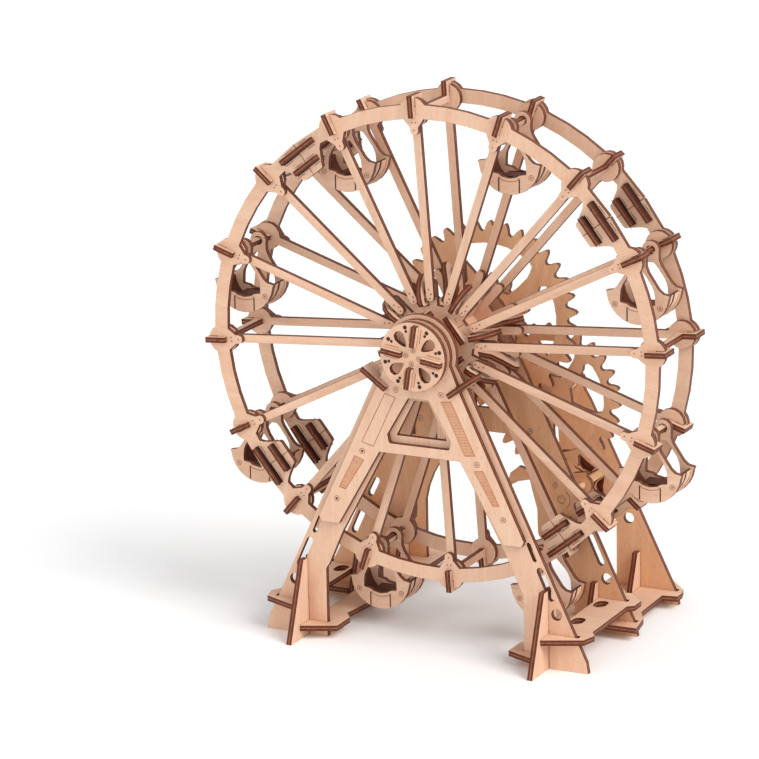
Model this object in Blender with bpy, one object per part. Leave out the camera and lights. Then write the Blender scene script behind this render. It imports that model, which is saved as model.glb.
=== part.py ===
"""A wooden ferris wheel kit of laser-cut plywood sheet, on a stand of three A-frames.

The wheel turns on a dowel axle in the heads of the frames. Each ring is four quarters with four
spokes each, and sixteen cross bars tie the rings together. Eight cabins hang on the odd bars.
Behind the middle frame a crank turns the drive gear, which meshes with a pinion on the axle.

Axes: X to the right, Y to the rear, Z up, with the ground at z = 0 and the middle plane of the
wheel at y = 0. Every flat piece is an outline with the thickness of the sheet.
"""

from math import acos, asin, atan2, ceil, cos, degrees, radians, sin, sqrt, tan

import bmesh
import bpy
from mathutils import Matrix, Vector

# Sheet and fits
PLY = 0.003
FIT = 0.0003
LAP = 0.0003
CUT_OVERRUN = 0.002
WELD = 0.000002

# Wheel
NODES = 16
QUARTERS = 4
WHEEL_PHASE = 4.07
RING_FACE = 0.0235
BAND_OUTER = 0.128
BAND_WIDTH = 0.0075
BAND_INNER = BAND_OUTER - BAND_WIDTH
LOBE_INSET = 0.0038
LOBE_CENTRE = BAND_OUTER - LOBE_INSET
LOBE_RADIUS = 0.0078
PIVOT_INSET = 0.0045
PIVOT_RADIUS = BAND_OUTER - PIVOT_INSET
DISC_RADIUS = 0.0075
ARC_STEP = 6.5
LOBE_STEPS = 7
DISC_STEPS = 14

# Feet of the band, where the spokes end
FOOT_HALF_WIDTH = 0.0058
FOOT_NECK_HALF_WIDTH = 0.0024
FOOT_NECK_DROP = 0.0045
FOOT_LENGTH = 0.0085

# Joints between the quarters
JOINT_TAB_DEPTH = 0.0115
JOINT_TAB_INNER = BAND_INNER - JOINT_TAB_DEPTH
JOINT_TAB_ROUND = 0.0018
JOINT_TAB_HALF_TOP = 0.0135
JOINT_TAB_HALF_END = 0.0066
JOINT_GAP = 0.0003
KEY_OUTER_INSET = 0.0042
KEY_SPACING = 0.0090
KEY_OUTER_RADIUS = BAND_OUTER - KEY_OUTER_INSET
KEY_INNER_RADIUS = KEY_OUTER_RADIUS - KEY_SPACING
KEY_OUTER_MARGIN = 0.0019
KEY_INNER_MARGIN = 0.0016
KEY_OUTER_HALF = JOINT_TAB_HALF_TOP - KEY_OUTER_MARGIN
KEY_INNER_HALF = JOINT_TAB_HALF_END + KEY_INNER_MARGIN
KEY_PROUD = 0.003
KEY_BACK = 0.003

# Spokes
SPOKE_WIDTH = 0.0044
SPOKE_INNER = 0.0234

# Hub
FINGER_ROOT = 0.0205
FINGER_LENGTH = 0.0140
FINGER_STEPS = 4
HUB_KEY_RADIUS = 0.0142
HUB_KEY_HALF = 0.0083
RIB_COUNT = 8
RIB_CLEARANCE = 0.0007
RIB_WAIST = 0.017
RIB_REACH = 0.0160
RIB_WING_SHARES = (
    (0.96, 0.0),
    (1.02, 0.07),
    (1.02, 0.28),
    (0.95, 0.55),
    (0.82, 0.80),
    (0.60, 1.0),
    (0.48, 0.88),
    (0.40, 0.44),
    (0.30, 0.08),
)
CORE_RADIUS = 0.0105
CORE_STEPS = 20
AXLE_RADIUS = 0.005
AXLE_STEPS = 20
AXLE_TAIL = 0.0025

# Cross bars
BAR_ROOT = 0.0008
BAR_OVERHANG = 0.0050
BAR_SLOT_DEPTH = 0.0012
BAR_INNER = BAND_INNER + BAR_ROOT
BAR_OUTER = BAND_OUTER + BAR_OVERHANG
BAR_SLOT_FLOOR = BAND_OUTER - BAR_SLOT_DEPTH
BAR_PROUD = 0.003
BAR_SHOULDER = 0.003
AXLE_BAR_SIDE = 0.003
TIE_BAR_DEPTH = 0.004

# Hub cap
CAP_RADIUS = 0.0186
CAP_FRONT = 0.0465
CAP_SLAB_INNER = 0.0058
CAP_SLAB_OUTER = 0.0172
CAP_SLAB_PROUD = 0.0030
CAP_SLAB_BACK = 0.0022
CAP_WINDOWS = 4
CAP_WINDOW_RADIUS = 0.0110
CAP_WINDOW_LONG = 0.0046
CAP_WINDOW_WIDE = 0.0027
CAP_TURN = -8.7
CAP_STEPS = 40

# Cabins, measured from their pivot
CABIN_HALF_DEPTH = 0.010
CABIN_TAB_RADIUS = 0.0048
CABIN_BORE = 0.00245
CABIN_TIP_X = 0.0178
CABIN_TIP_Z = 0.0190
CABIN_HULL_RADIUS = 0.0173
CABIN_HULL_Z = 0.0185
CABIN_ARM_SHARES = ((0.26, 0.26), (0.33, 0.42), (0.51, 0.67), (0.65, 0.86), (0.78, 0.96))
CABIN_WINDOW_TOP = 0.0066
CABIN_WINDOW_SHARES = ((0.10, 0), (0.23, 0.14), (0.33, 0.28), (0.44, 0.44), (0.52, 0.62), (0.54, 0.81))
CABIN_WINDOW_BOTTOM = 0.0244
CABIN_DOOR_HALF = 0.0058
CABIN_DOOR_SAG = 0.0027
CABIN_SEAT_DROP = 0.0287
CABIN_SEAT_HALF = 0.0074
CABIN_HULL_STEPS = 12
CABIN_HULL_WALL = 0.0016
CABIN_HULL_INSET = 0.0012

# The axle's height leaves the lowest cabin clear of the ground
CABIN_CLEARANCE = 0.0034
AXIS_HEIGHT = PIVOT_RADIUS + CABIN_HULL_Z + CABIN_HULL_RADIUS + CABIN_CLEARANCE

# Gears
MODULE = 0.0028
WHEEL_GEAR_TEETH = 35
PINION_TEETH = 12
DRIVE_TEETH = 27
PRESSURE_ANGLE = 24.0
ADDENDUM_SHARE = 0.92
ROOT_SHARE = 1.12
BACKLASH = 0.00035
FLANK_POINTS = 3
TIP_ROUND_SHARES = ((0.34, 1.0), (0.10, 0.88), (0.0, 0.52))
ROOT_ROUND_SHARES = ((0.0, 0.5), (0.30, 0.04))
WHEEL_GEAR_FRONT = 0.047
WHEEL_GEAR_PHASE = 88.9
WHEEL_GEAR_RIM = 0.0395
WHEEL_GEAR_HUB = 0.0165
WHEEL_GEAR_ARMS = 4
WHEEL_GEAR_ARM_WIDTH = 0.010
WHEEL_GEAR_ARM_TURN = 30.0
WHEEL_GEAR_SWIRL = 10.0
DRIVE_FRONT = 0.056
DRIVE_CENTRE_ANGLE = -54.4
DRIVE_RIM = 0.0310
DRIVE_HUB = 0.0125
DRIVE_ARMS = 5
DRIVE_ARM_WIDTH = 0.0075
DRIVE_ARM_TURN = 56.0
DRIVE_SWIRL = 8.0
SHAFT_RADIUS = 0.0025
SHAFT_STEPS = 16
SHAFT_SEAT = 0.0018
CRANK_LENGTH = 0.018
CRANK_ANGLE = -140.0
CRANK_END_RADIUS = 0.006
KNOB_RADIUS = 0.0045
KNOB_LENGTH = 0.014

# Stop lever
LEVER_PIN_X = 0.0502
LEVER_PIN_Z = 0.0917
LEVER_PIN_RADIUS = 0.002
LEVER_BORE = 0.0023
LEVER_END_RADIUS = 0.0055
LEVER_ARM_HALF = 0.0024
LEVER_LEAF_X = -0.0375
LEVER_LEAF_Z = 0.0020
LEVER_LEAF_HALF = 0.0042
LEVER_LEAF_LENGTH = 0.0150
LEVER_TOOTH_REACH = 0.0062

# Frames, measured from the axle
FRAME_STEP_BACK = 0.0368
HEAD_RADIUS = 0.0205
NECK_X = 0.0282
NECK_Z = 0.0200
FOOT_OUTER_X = 0.0938
FOOT_INNER_X = 0.0575
FLARE_X = 0.0928
FLARE_HEIGHT = 0.0060
FLARE_Z = AXIS_HEIGHT - FLARE_HEIGHT
KNEE_X = 0.0472
KNEE_HEIGHT = 0.0600
KNEE_Z = AXIS_HEIGHT - KNEE_HEIGHT
ANKLE_X = 0.0555
ANKLE_HEIGHT = 0.0412
ANKLE_Z = AXIS_HEIGHT - ANKLE_HEIGHT
CROTCH_X = 0.0215
CROTCH_Z = 0.0553
WINDOW_TOP_X = 0.0040
WINDOW_TOP_Z = 0.0262
WINDOW_BOTTOM_X = 0.0145
WINDOW_BOTTOM_Z = 0.0460
WINDOW_ROUND = 0.0022
FACING_WINDOW_MARGIN = 0.0038
FACING_OUTER_MARGIN = 0.0040
FACING_INNER_MARGIN = 0.0034
FACING_END_HEIGHT = 0.0652
FACING_END_Z = AXIS_HEIGHT - FACING_END_HEIGHT
# Places on the legs, as shares of the half width and the height of the stand
MIDDLE_INNER_SHARES = (
    (0.2665, 0.3626), (0.3038, 0.4302), (0.3326, 0.4917), (0.3561, 0.547), (0.3859, 0.6085),
    (0.387, 0.6577), (0.3902, 0.6915), (0.4264, 0.7222),
)
REAR_SLIM_SHARES = ((0.5959, 0.6976), (0.613, 0.7437))
REAR_INNER_SHARES = ((0.2505, 0.3503), (0.4478, 0.5409), (0.5107, 0.5968), (0.5618, 0.6478))
REAR_WING_SHARES = (
    (0.2399, 0.3626), (0.2559, 0.5286), (0.3358, 0.6361), (0.3891, 0.6699), (0.4851, 0.6792),
    (0.581, 0.6835),
)
REAR_TOP_SHARES = (
    (0.0, 0.135), (0.1173, 0.1383), (0.2399, 0.2428), (0.2825, 0.2428), (0.3252, 0.2366),
    (0.3763, 0.2489), (0.3987, 0.2735), (0.4179, 0.2950), (0.4488, 0.3239),
)
REAR_HOLE_SHARE = (0.6898, 0.7173)
REAR_VEE_SHARES = (
    (
        (0.3646, 0.5077), (0.3731, 0.5439), (0.4009, 0.5655),
        (0.4499, 0.5747), (0.4797, 0.5569), (0.4286, 0.5378),
    ),
    (
        (0.5384, 0.5839), (0.4925, 0.6054), (0.4851, 0.6208),
        (0.5064, 0.6515), (0.5384, 0.6589), (0.5277, 0.6208),
    ),
)
REAR_PATCH_SHARES = (
    (0.3433, 0.4917), (0.4286, 0.5180), (0.5032, 0.5240), (0.5950, 0.5300), (0.5990, 0.5800),
    (0.5700, 0.6150), (0.5629, 0.673), (0.4904, 0.673), (0.4648, 0.6238), (0.4104, 0.5913),
    (0.3603, 0.5704),
)
LONG_SLOT_SHARES = ((0.7122, 0.6761), (0.7804, 0.7621))
SHORT_SLOT_SHARES = ((0.645, 0.5931), (0.6823, 0.6423))
MIDDLE_UPPER_SLOT_SHARES = ((0.629, 0.5778), (0.6716, 0.6269))
TIE_LEFT_SHARE = (-0.3945, 0.3811)
TIE_RIGHT_SHARE = (0.6183, 0.6515)

MIDDLE_FACE = 0.0280
REAR_FACE = 0.0850
PEEP_X = 0.0762
PEEP_HEIGHT = 0.0300
PEEP_Z = AXIS_HEIGHT - PEEP_HEIGHT
PEEP_RADIUS = 0.0031
PEEP_STEPS = 14
LONG_SLOT_HALF = 0.0019
SHORT_SLOT_HALF = 0.0011
MIDDLE_UPPER_SLOT_HALF = 0.0017

# Clamps over the neck of the front frame
HEAD_END = -14
HEAD_STEPS = 8
CLAMP_SHARE = 0.66
CLAMP_HEADING = 36
CLAMP_INWARD = 0.0092
CLAMP_OUTWARD = 0.0078
CLAMP_GRIP = 0.0035
CLAMP_PROUD = 0.0030

# Feet
FOOT_X = 0.070
FOOT_JOINT_HEIGHT = 0.0207
FOOT_JOINT_Z = AXIS_HEIGHT - FOOT_JOINT_HEIGHT
FRONT_FOOT_HEIGHT = 0.0427
FRONT_FOOT_TOP = AXIS_HEIGHT - FRONT_FOOT_HEIGHT
BACK_FOOT_HEIGHT = 0.0281
BACK_FOOT_TOP = AXIS_HEIGHT - BACK_FOOT_HEIGHT
FRONT_FOOT_TOP_REACH = 0.0052
FRONT_FOOT_REACH = 0.0212
BACK_FOOT_TOP_REACH = 0.0040
BACK_FOOT_REACH = 0.0150
FOOT_REAR_TOP_REACH = 0.0035
FOOT_REAR_REACH = 0.0120

# Base plates
UPPER_BASE_Z = 0.0160
LOWER_BASE_Z = 0.0050
UPPER_TIP_Y = 0.0478
UPPER_FRONT_X = 0.0922
UPPER_FRONT_Y = 0.0389
UPPER_WIDE_X = 0.0945
UPPER_WIDE_FRONT_Y = 0.0300
UPPER_WIDE_REAR_Y = 0.0232
UPPER_NARROW_X = 0.0912
UPPER_NARROW_FRONT_Y = 0.0250
UPPER_NARROW_REAR_Y = 0.0203
UPPER_SHOULDER_Y = 0.0320
UPPER_TAIL_X = 0.0850
UPPER_TAIL_Y = 0.0416
OVAL_X = 0.0770
OVAL_HALF = 0.0021
OVAL_REACH = 0.0034
OVAL_PLACES = (-0.0117, 0.0185)
LOWER_TIP_Y = 0.0480
LOWER_IN_X = 0.0500
LOWER_IN_NARROW_X = 0.0545
LOWER_IN_FRONT_Y = 0.0400
LOWER_IN_BACK_Y = 0.0250
LOWER_IN_NARROW_Y = 0.0190
LOWER_STEP_Y = 0.0185
LOWER_CORNER = 0.0040
LOWER_WIDE = ((0.0972, 0.0190), (0.0960, 0.0258), (0.0944, 0.0350), (0.0890, 0.0450))
LOWER_WAIST = ((0.0885, 0.0750), (0.0968, 0.0765), (0.0968, 0.0830), (0.0952, 0.0888))
LOWER_TAIL_X = 0.0815
LOWER_TAIL_Y = 0.1045

# Ties between the middle and rear frames
TIE_DEPTH = 0.0060
TIE_PROUD = 0.0005

# Colours, linear
PALE_BIRCH = (0.76, 0.50, 0.32)
WARM_BIRCH = (0.66, 0.38, 0.20)
BURNT_EDGE = (0.16, 0.055, 0.025)
ROUGHNESS = 0.62


def clear_scene():
    for obj in list(bpy.data.objects):
        bpy.data.objects.remove(obj, do_unlink=True)


def collection(name):
    made = bpy.data.collections.new(name)
    bpy.context.scene.collection.children.link(made)
    return made


def wood(name, colour):
    material = bpy.data.materials.new(name)
    material.use_nodes = True
    shader = material.node_tree.nodes["Principled BSDF"]
    shader.inputs["Base Color"].default_value = (*colour, 1)
    shader.inputs["Roughness"].default_value = ROUGHNESS
    shader.inputs["Metallic"].default_value = 0
    return material


def polar(radius, angle):
    """A point of the outline plane, from a radius and an angle in degrees."""
    return (radius * cos(radians(angle)), radius * sin(radians(angle)))


def arc(centre, radius, start, end, steps):
    """Points of a round stretch from start to end, in degrees, both ends included."""
    span = end - start
    turns = [start + span * step / steps for step in range(steps + 1)]
    return [(centre[0] + polar(radius, a)[0], centre[1] + polar(radius, a)[1]) for a in turns]


def circle(centre, radius, steps):
    return arc(centre, radius, 0, 360, steps)[:-1]


def mirrored(points):
    """The points mirrored left to right, in the opposite order."""
    return [(-x, z) for x, z in reversed(points)]


def turned(points, angle):
    c, s = cos(radians(angle)), sin(radians(angle))
    return [(x * c - y * s, x * s + y * c) for x, y in points]


def moved(points, by):
    return [(x + by[0], y + by[1]) for x, y in points]


def slot_loop(start, end, half_width, steps):
    """A slot with round ends from start to end."""
    heading = degrees(atan2(end[1] - start[1], end[0] - start[0]))
    first = arc(start, half_width, heading + 90, heading + 270, steps)
    return first + arc(end, half_width, heading - 90, heading + 90, steps)


def rounded(corners, radius, steps):
    """A closed outline with each corner rounded by an arc."""
    loop = []
    for index, corner in enumerate(corners):
        here = Vector(corner)
        back = (Vector(corners[index - 1]) - here).normalized()
        ahead = (Vector(corners[(index + 1) % len(corners)]) - here).normalized()
        half = acos(max(-1, min(1, back.dot(ahead)))) / 2
        centre = here + (back + ahead).normalized() * (radius / sin(half))
        start = here + back * (radius / tan(half)) - centre
        end = here + ahead * (radius / tan(half)) - centre
        first = degrees(atan2(start.y, start.x))
        swing = (degrees(atan2(end.y, end.x)) - first + 180) % 360 - 180
        loop += arc(tuple(centre), radius, first, first + swing, steps)
    return loop


def flat_mesh(name, loops, thickness):
    """A mesh of the sheet: the first loop is the outline and the others are openings."""
    curve = bpy.data.curves.new(name, "CURVE")
    curve.dimensions = "2D"
    curve.fill_mode = "BOTH"
    curve.extrude = thickness / 2
    for loop in loops:
        spline = curve.splines.new("POLY")
        spline.points.add(len(loop) - 1)
        for point, (x, y) in zip(spline.points, loop):
            point.co = (x, y, 0, 1)
        spline.use_cyclic_u = True
    holder = bpy.data.objects.new(name, curve)
    bpy.context.scene.collection.objects.link(holder)
    mesh = bpy.data.meshes.new_from_object(holder.evaluated_get(bpy.context.evaluated_depsgraph_get()))
    bpy.data.objects.remove(holder)
    bpy.data.curves.remove(curve)
    mesh.name = name
    tidy(mesh)
    return mesh


def tidy(mesh):
    shape = bmesh.new()
    shape.from_mesh(mesh)
    bmesh.ops.remove_doubles(shape, verts=shape.verts, dist=WELD)
    bmesh.ops.recalc_face_normals(shape, faces=shape.faces)
    shape.to_mesh(mesh)
    shape.free()


def placed(mesh, matrix):
    copy = mesh.copy()
    copy.transform(matrix)
    return copy


def joined(name, meshes):
    """One mesh that holds separate pieces, for use as the operand of a Boolean."""
    shape = bmesh.new()
    for mesh in meshes:
        shape.from_mesh(mesh)
    made = bpy.data.meshes.new(name)
    shape.to_mesh(made)
    shape.free()
    return made


def upright(face, thickness=PLY):
    """Stands an outline in the X-Z plane with its front at y = face."""
    return Matrix.Translation((0, face + thickness / 2, 0)) @ Matrix.Rotation(radians(90), 4, "X")


def level(bottom, thickness=PLY):
    """Lays an outline in the X-Y plane with its underside at z = bottom."""
    return Matrix.Translation((0, 0, bottom + thickness / 2))


def radial(angle):
    """Turns an outline of (y, radius) points into the plane of the axle and the given angle."""
    lift = Matrix(((0, 0, 1, 0), (1, 0, 0, 0), (0, 1, 0, 0), (0, 0, 0, 1)))
    return Matrix.Rotation(radians(90 - angle), 4, "Y") @ lift


def box_mesh(name, low, high):
    shape = bmesh.new()
    size = Vector(high) - Vector(low)
    middle = (Vector(high) + Vector(low)) / 2
    bmesh.ops.create_cube(shape, size=1, matrix=Matrix.Translation(middle) @ Matrix.Diagonal((*size, 1)))
    made = bpy.data.meshes.new(name)
    shape.to_mesh(made)
    shape.free()
    return made


def rod_mesh(name, radius, front, rear, steps, centre=(0, 0)):
    """A round rod along Y from front to rear."""
    shape = bmesh.new()
    along = Matrix.Rotation(radians(90), 4, "X")
    place = Matrix.Translation((centre[0], (front + rear) / 2, centre[1])) @ along
    length = rear - front
    bmesh.ops.create_cone(
        shape, cap_ends=True, segments=steps, radius1=radius, radius2=radius, depth=length, matrix=place
    )
    made = bpy.data.meshes.new(name)
    shape.to_mesh(made)
    shape.free()
    return made


class Kit:
    """The collections and materials, and the way a piece becomes a node."""

    def __init__(self):
        self.parts = collection("ferris_wheel")
        self.cutters = collection("cutters")

    def operand(self, name, mesh):
        obj = bpy.data.objects.new(name, mesh)
        self.cutters.objects.link(obj)
        obj.hide_render = True
        obj.display_type = "WIRE"
        return obj

    def shaped(self, name, mesh, joins=(), cuts=()):
        """The mesh with other meshes joined to it and then cut from it."""
        work = bpy.data.objects.new(name + "_shape", mesh)
        self.cutters.objects.link(work)
        operations = [("UNION", joins), ("DIFFERENCE", cuts)]
        for operation, meshes in operations:
            for number, other in enumerate(meshes, 1):
                modifier = work.modifiers.new(f"{operation.lower()}_{number}", "BOOLEAN")
                modifier.operation = operation
                modifier.solver = "EXACT"
                modifier.object = self.operand(f"{name}_{operation.lower()}_{number}", other)
        bpy.context.view_layer.update()
        graph = bpy.context.evaluated_depsgraph_get()
        made = bpy.data.meshes.new_from_object(work.evaluated_get(graph))
        made.name = name
        used = [modifier.object for modifier in work.modifiers]
        for obj in [work, *used]:
            bpy.data.objects.remove(obj)
        return made

    def node(self, name, mesh, colour, location=(0, 0, AXIS_HEIGHT), angle=0):
        """An object of the part. The angle turns it counter-clockwise as seen from the front."""
        obj = bpy.data.objects.new(name, mesh)
        obj.location = location
        obj.rotation_euler = (0, radians(-angle), 0)
        if not mesh.materials:
            mesh.materials.append(wood(mesh.name, colour))
        self.parts.objects.link(obj)
        return obj


def node_angle(node):
    return 90 + 360 / NODES * node + WHEEL_PHASE


def lobe_reach():
    """Half the angle that a lobe covers on the outer edge of the band."""
    along = (BAND_OUTER**2 + LOBE_CENTRE**2 - LOBE_RADIUS**2) / (2 * LOBE_CENTRE)
    return degrees(acos(along / BAND_OUTER))


def band_foot(angle):
    """The tab that a spoke ends on, from its higher angle to its lower angle."""
    root = sqrt(BAND_INNER**2 - FOOT_HALF_WIDTH**2)
    neck = BAND_INNER - FOOT_NECK_DROP
    end = BAND_INNER - FOOT_LENGTH + FOOT_NECK_HALF_WIDTH
    side = [(root, FOOT_HALF_WIDTH), (neck, FOOT_NECK_HALF_WIDTH)]
    tip = arc((end, 0), FOOT_NECK_HALF_WIDTH, 90, 270, 5)
    return turned(side + tip + [(x, -y) for x, y in reversed(side)], angle)


def quarter_band():
    """The outline of one quarter, for nodes at 0 to 3 pitches from angle 0."""
    pitch = 360 / NODES
    reach = lobe_reach()
    half_gap = JOINT_GAP / 2
    loop = []
    low, high = -pitch / 2, 360 / QUARTERS - pitch / 2
    for number in range(NODES // QUARTERS):
        here = pitch * number
        centre = polar(LOBE_CENTRE, here)
        start = polar(BAND_OUTER, here - reach)
        swing = degrees(atan2(start[1] - centre[1], start[0] - centre[0])) - here
        swing = (swing + 180) % 360 - 180
        loop += arc(centre, LOBE_RADIUS, here + swing, here - swing, LOBE_STEPS)
        if number < NODES // QUARTERS - 1:
            span = pitch - 2 * reach
            steps = ceil(span / ARC_STEP)
            loop += arc((0, 0), BAND_OUTER, here + reach, here + reach + span, steps)[1:-1]

    def joint(angle, side):
        """The half of a joint at this angle, from the outer edge to the foot of its slope."""
        foot = sqrt(BAND_INNER**2 - JOINT_TAB_HALF_TOP**2)
        points = [
            (BAND_OUTER, side * half_gap),
            (JOINT_TAB_INNER, side * half_gap),
            (JOINT_TAB_INNER, side * (JOINT_TAB_HALF_END - JOINT_TAB_ROUND / 2)),
            (JOINT_TAB_INNER + JOINT_TAB_ROUND / 4, side * (JOINT_TAB_HALF_END + JOINT_TAB_ROUND / 4)),
            (JOINT_TAB_INNER + JOINT_TAB_ROUND, side * (JOINT_TAB_HALF_END + JOINT_TAB_ROUND / 2)),
            (foot - JOINT_TAB_ROUND, side * (JOINT_TAB_HALF_TOP - JOINT_TAB_ROUND)),
            (foot, side * JOINT_TAB_HALF_TOP),
        ]
        return turned(points, angle)

    foot_reach = degrees(asin(FOOT_HALF_WIDTH / BAND_INNER))
    loop += arc((0, 0), BAND_OUTER, pitch * 3 + reach, high, 1)[1:-1]
    loop += joint(high, -1)
    for number in reversed(range(NODES // QUARTERS)):
        here = pitch * number
        loop += band_foot(here)
        if number:
            start, end = here - foot_reach, here - pitch + foot_reach
            steps = ceil((start - end) / ARC_STEP)
            loop += arc((0, 0), BAND_INNER, start, end, steps)[1:-1]
    loop += list(reversed(joint(low, 1)))
    return loop


def spoke_outline():
    """One spoke along the first axis, with the disc of its node as its head."""
    half = SPOKE_WIDTH / 2
    swing = degrees(asin(half / DISC_RADIUS))
    head = arc((PIVOT_RADIUS, 0), DISC_RADIUS, -180 + swing, 180 - swing, DISC_STEPS)
    tail = arc((SPOKE_INNER + half, 0), half, 90, 270, 4)
    return head + tail


def ring_quarter(kit, name, side):
    """A quarter ring. side is -1 for the front ring, 1 for the rear ring."""
    pitch = 360 / NODES
    band_face = -RING_FACE if side < 0 else RING_FACE - PLY
    spoke_face = band_face - side * (PLY - LAP)
    band = placed(flat_mesh(name, [quarter_band()], PLY), upright(band_face))
    spokes = []
    slots = []
    for number in range(NODES // QUARTERS):
        spoke = flat_mesh("spoke", [turned(spoke_outline(), pitch * number)], PLY)
        spokes.append(placed(spoke, upright(spoke_face)))
        slot = box_mesh(
            "slot",
            (BAR_SLOT_FLOOR, -RING_FACE - CUT_OVERRUN, -PLY / 2 - FIT),
            (BAR_OUTER + CUT_OVERRUN, RING_FACE + CUT_OVERRUN, PLY / 2 + FIT),
        )
        slots.append(placed(slot, Matrix.Rotation(radians(-pitch * number), 4, "Y")))
    outer_face = side * RING_FACE
    proud, back = outer_face + side * KEY_PROUD, outer_face - side * (PLY + KEY_BACK)
    low, high = min(proud, back), max(proud, back)
    angle = 360 / QUARTERS - pitch / 2
    keys, key_slots = [], []
    for radius, half in ((KEY_OUTER_RADIUS, KEY_OUTER_HALF), (KEY_INNER_RADIUS, KEY_INNER_HALF)):
        key = box_mesh("key", (radius - PLY / 2, low, -half), (radius + PLY / 2, high, half))
        keys.append(placed(key, Matrix.Rotation(radians(-angle), 4, "Y")))
        gap = box_mesh(
            "key_slot",
            (radius - PLY / 2 - FIT, low - CUT_OVERRUN, -half - FIT),
            (radius + PLY / 2 + FIT, high + CUT_OVERRUN, half + FIT),
        )
        key_slots.append(placed(gap, Matrix.Rotation(radians(pitch / 2), 4, "Y")))
    openings = joined("slots", slots + key_slots)
    cut = kit.shaped(name + "_cut", band, joins=[joined("spokes", spokes)], cuts=[openings])
    return kit.shaped(name, cut, joins=[joined("keys", keys)])


def cross_bar_outline(depth):
    """A cross bar in (y, radius): its ends grip the rings, and depth is that of its middle."""
    tip = RING_FACE + BAR_PROUD
    outside = RING_FACE + FIT
    inside = RING_FACE - 2 * PLY + LAP - FIT
    shoulder = inside - BAR_SHOULDER
    grip = BAR_SLOT_FLOOR + FIT
    half = depth / 2
    right = [
        (shoulder, PIVOT_RADIUS - half),
        (shoulder, BAR_INNER),
        (inside, BAR_INNER),
        (inside, grip),
        (outside, grip),
        (outside, BAR_INNER),
        (tip, BAR_INNER),
        (tip, BAR_OUTER),
        (shoulder, BAR_OUTER),
        (shoulder, PIVOT_RADIUS + half),
    ]
    return right + mirrored(right)


def hub_plate_outline():
    """A disc with a finger behind each spoke."""
    loop = []
    pitch = 360 / NODES
    half = SPOKE_WIDTH / 2
    reach = degrees(asin(half / FINGER_ROOT))
    for number in range(NODES):
        here = pitch * number
        tip = arc((FINGER_ROOT + FINGER_LENGTH - half, 0), half, -90, 90, FINGER_STEPS)
        root = polar(FINGER_ROOT, -reach)
        loop += turned([root] + tip + [(root[0], -root[1])], here)
    return loop


def hub_plate(kit, name, side):
    """A hub plate with its joint slabs. side is -1 for the front plate, 1 for the rear plate."""
    bore = axle_hole()
    face = -RING_FACE + 2 * PLY if side < 0 else RING_FACE - 3 * PLY
    outer = face if side < 0 else face + PLY
    ends = (outer + side * KEY_PROUD, outer - side * PLY / 2)
    keys = []
    for number in range(QUARTERS):
        angle = 360 / QUARTERS * (number + 1 / 2) - 180 / NODES
        low = (HUB_KEY_RADIUS - PLY / 2, min(ends), -HUB_KEY_HALF)
        high = (HUB_KEY_RADIUS + PLY / 2, max(ends), HUB_KEY_HALF)
        keys.append(placed(box_mesh("key", low, high), Matrix.Rotation(radians(-angle), 4, "Y")))
    plate = placed(flat_mesh(name, [hub_plate_outline(), bore], PLY), upright(face))
    return kit.shaped(name, plate, joins=[joined("keys", keys)])


def hub_core(kit):
    """The bush on the axle, with ribs whose wings reach out between the spokes of both rings."""
    length = RING_FACE - 3 * PLY - FIT
    bush = rod_mesh("hub_core", CORE_RADIUS, -length, length, CORE_STEPS)
    root, neck = AXLE_RADIUS + 2 * FIT, FINGER_ROOT + RIB_CLEARANCE
    wing = [(-RING_FACE * y, neck + RIB_REACH * out) for y, out in RIB_WING_SHARES]
    inner = length - LAP
    side = [(-inner, root), (-inner, neck), *wing, (0, RIB_WAIST)]
    outline = side + mirrored(side[:-1])
    ribs = []
    for number in range(RIB_COUNT):
        angle = 360 / RIB_COUNT * number + 180 / NODES
        ribs.append(placed(flat_mesh("rib", [outline], PLY), radial(angle)))
    bore = rod_mesh("bore", AXLE_RADIUS + FIT, -length - CUT_OVERRUN, length + CUT_OVERRUN, AXLE_STEPS)
    return kit.shaped("hub_core", bush, joins=[joined("ribs", ribs)], cuts=[bore])


def gear_outline(teeth):
    """Teeth with involute flanks, a round root and a round tip."""
    pitch_radius = MODULE * teeth / 2
    base = pitch_radius * cos(radians(PRESSURE_ANGLE))
    tip = pitch_radius + MODULE * ADDENDUM_SHARE
    root = pitch_radius - MODULE * ROOT_SHARE
    foot = max(base, root + MODULE / 5)

    def involute(radius):
        turn = acos(base / radius)
        return degrees(tan(turn) - turn)

    half = 90 / teeth - degrees(BACKLASH / 2 / pitch_radius) + involute(pitch_radius)
    shoulder = tip - MODULE * TIP_ROUND_SHARES[0][0]
    radii = [foot + (shoulder - foot) * step / (FLANK_POINTS - 1) for step in range(FLANK_POINTS)]
    edge = half - involute(foot)
    valley = 180 / teeth - edge
    floor = [(root + MODULE * rise, edge + valley * away) for rise, away in ROOT_ROUND_SHARES]
    crown = [(tip - MODULE * drop, (half - involute(tip)) * away) for drop, away in TIP_ROUND_SHARES[1:]]
    loop = []
    for number in range(teeth):
        here = 360 / teeth * number
        steps = floor + [(radius, half - involute(radius)) for radius in radii] + crown
        loop += [polar(radius, here - away) for radius, away in steps]
        loop += [polar(radius, here + away) for radius, away in reversed(steps)]
    return loop


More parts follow.
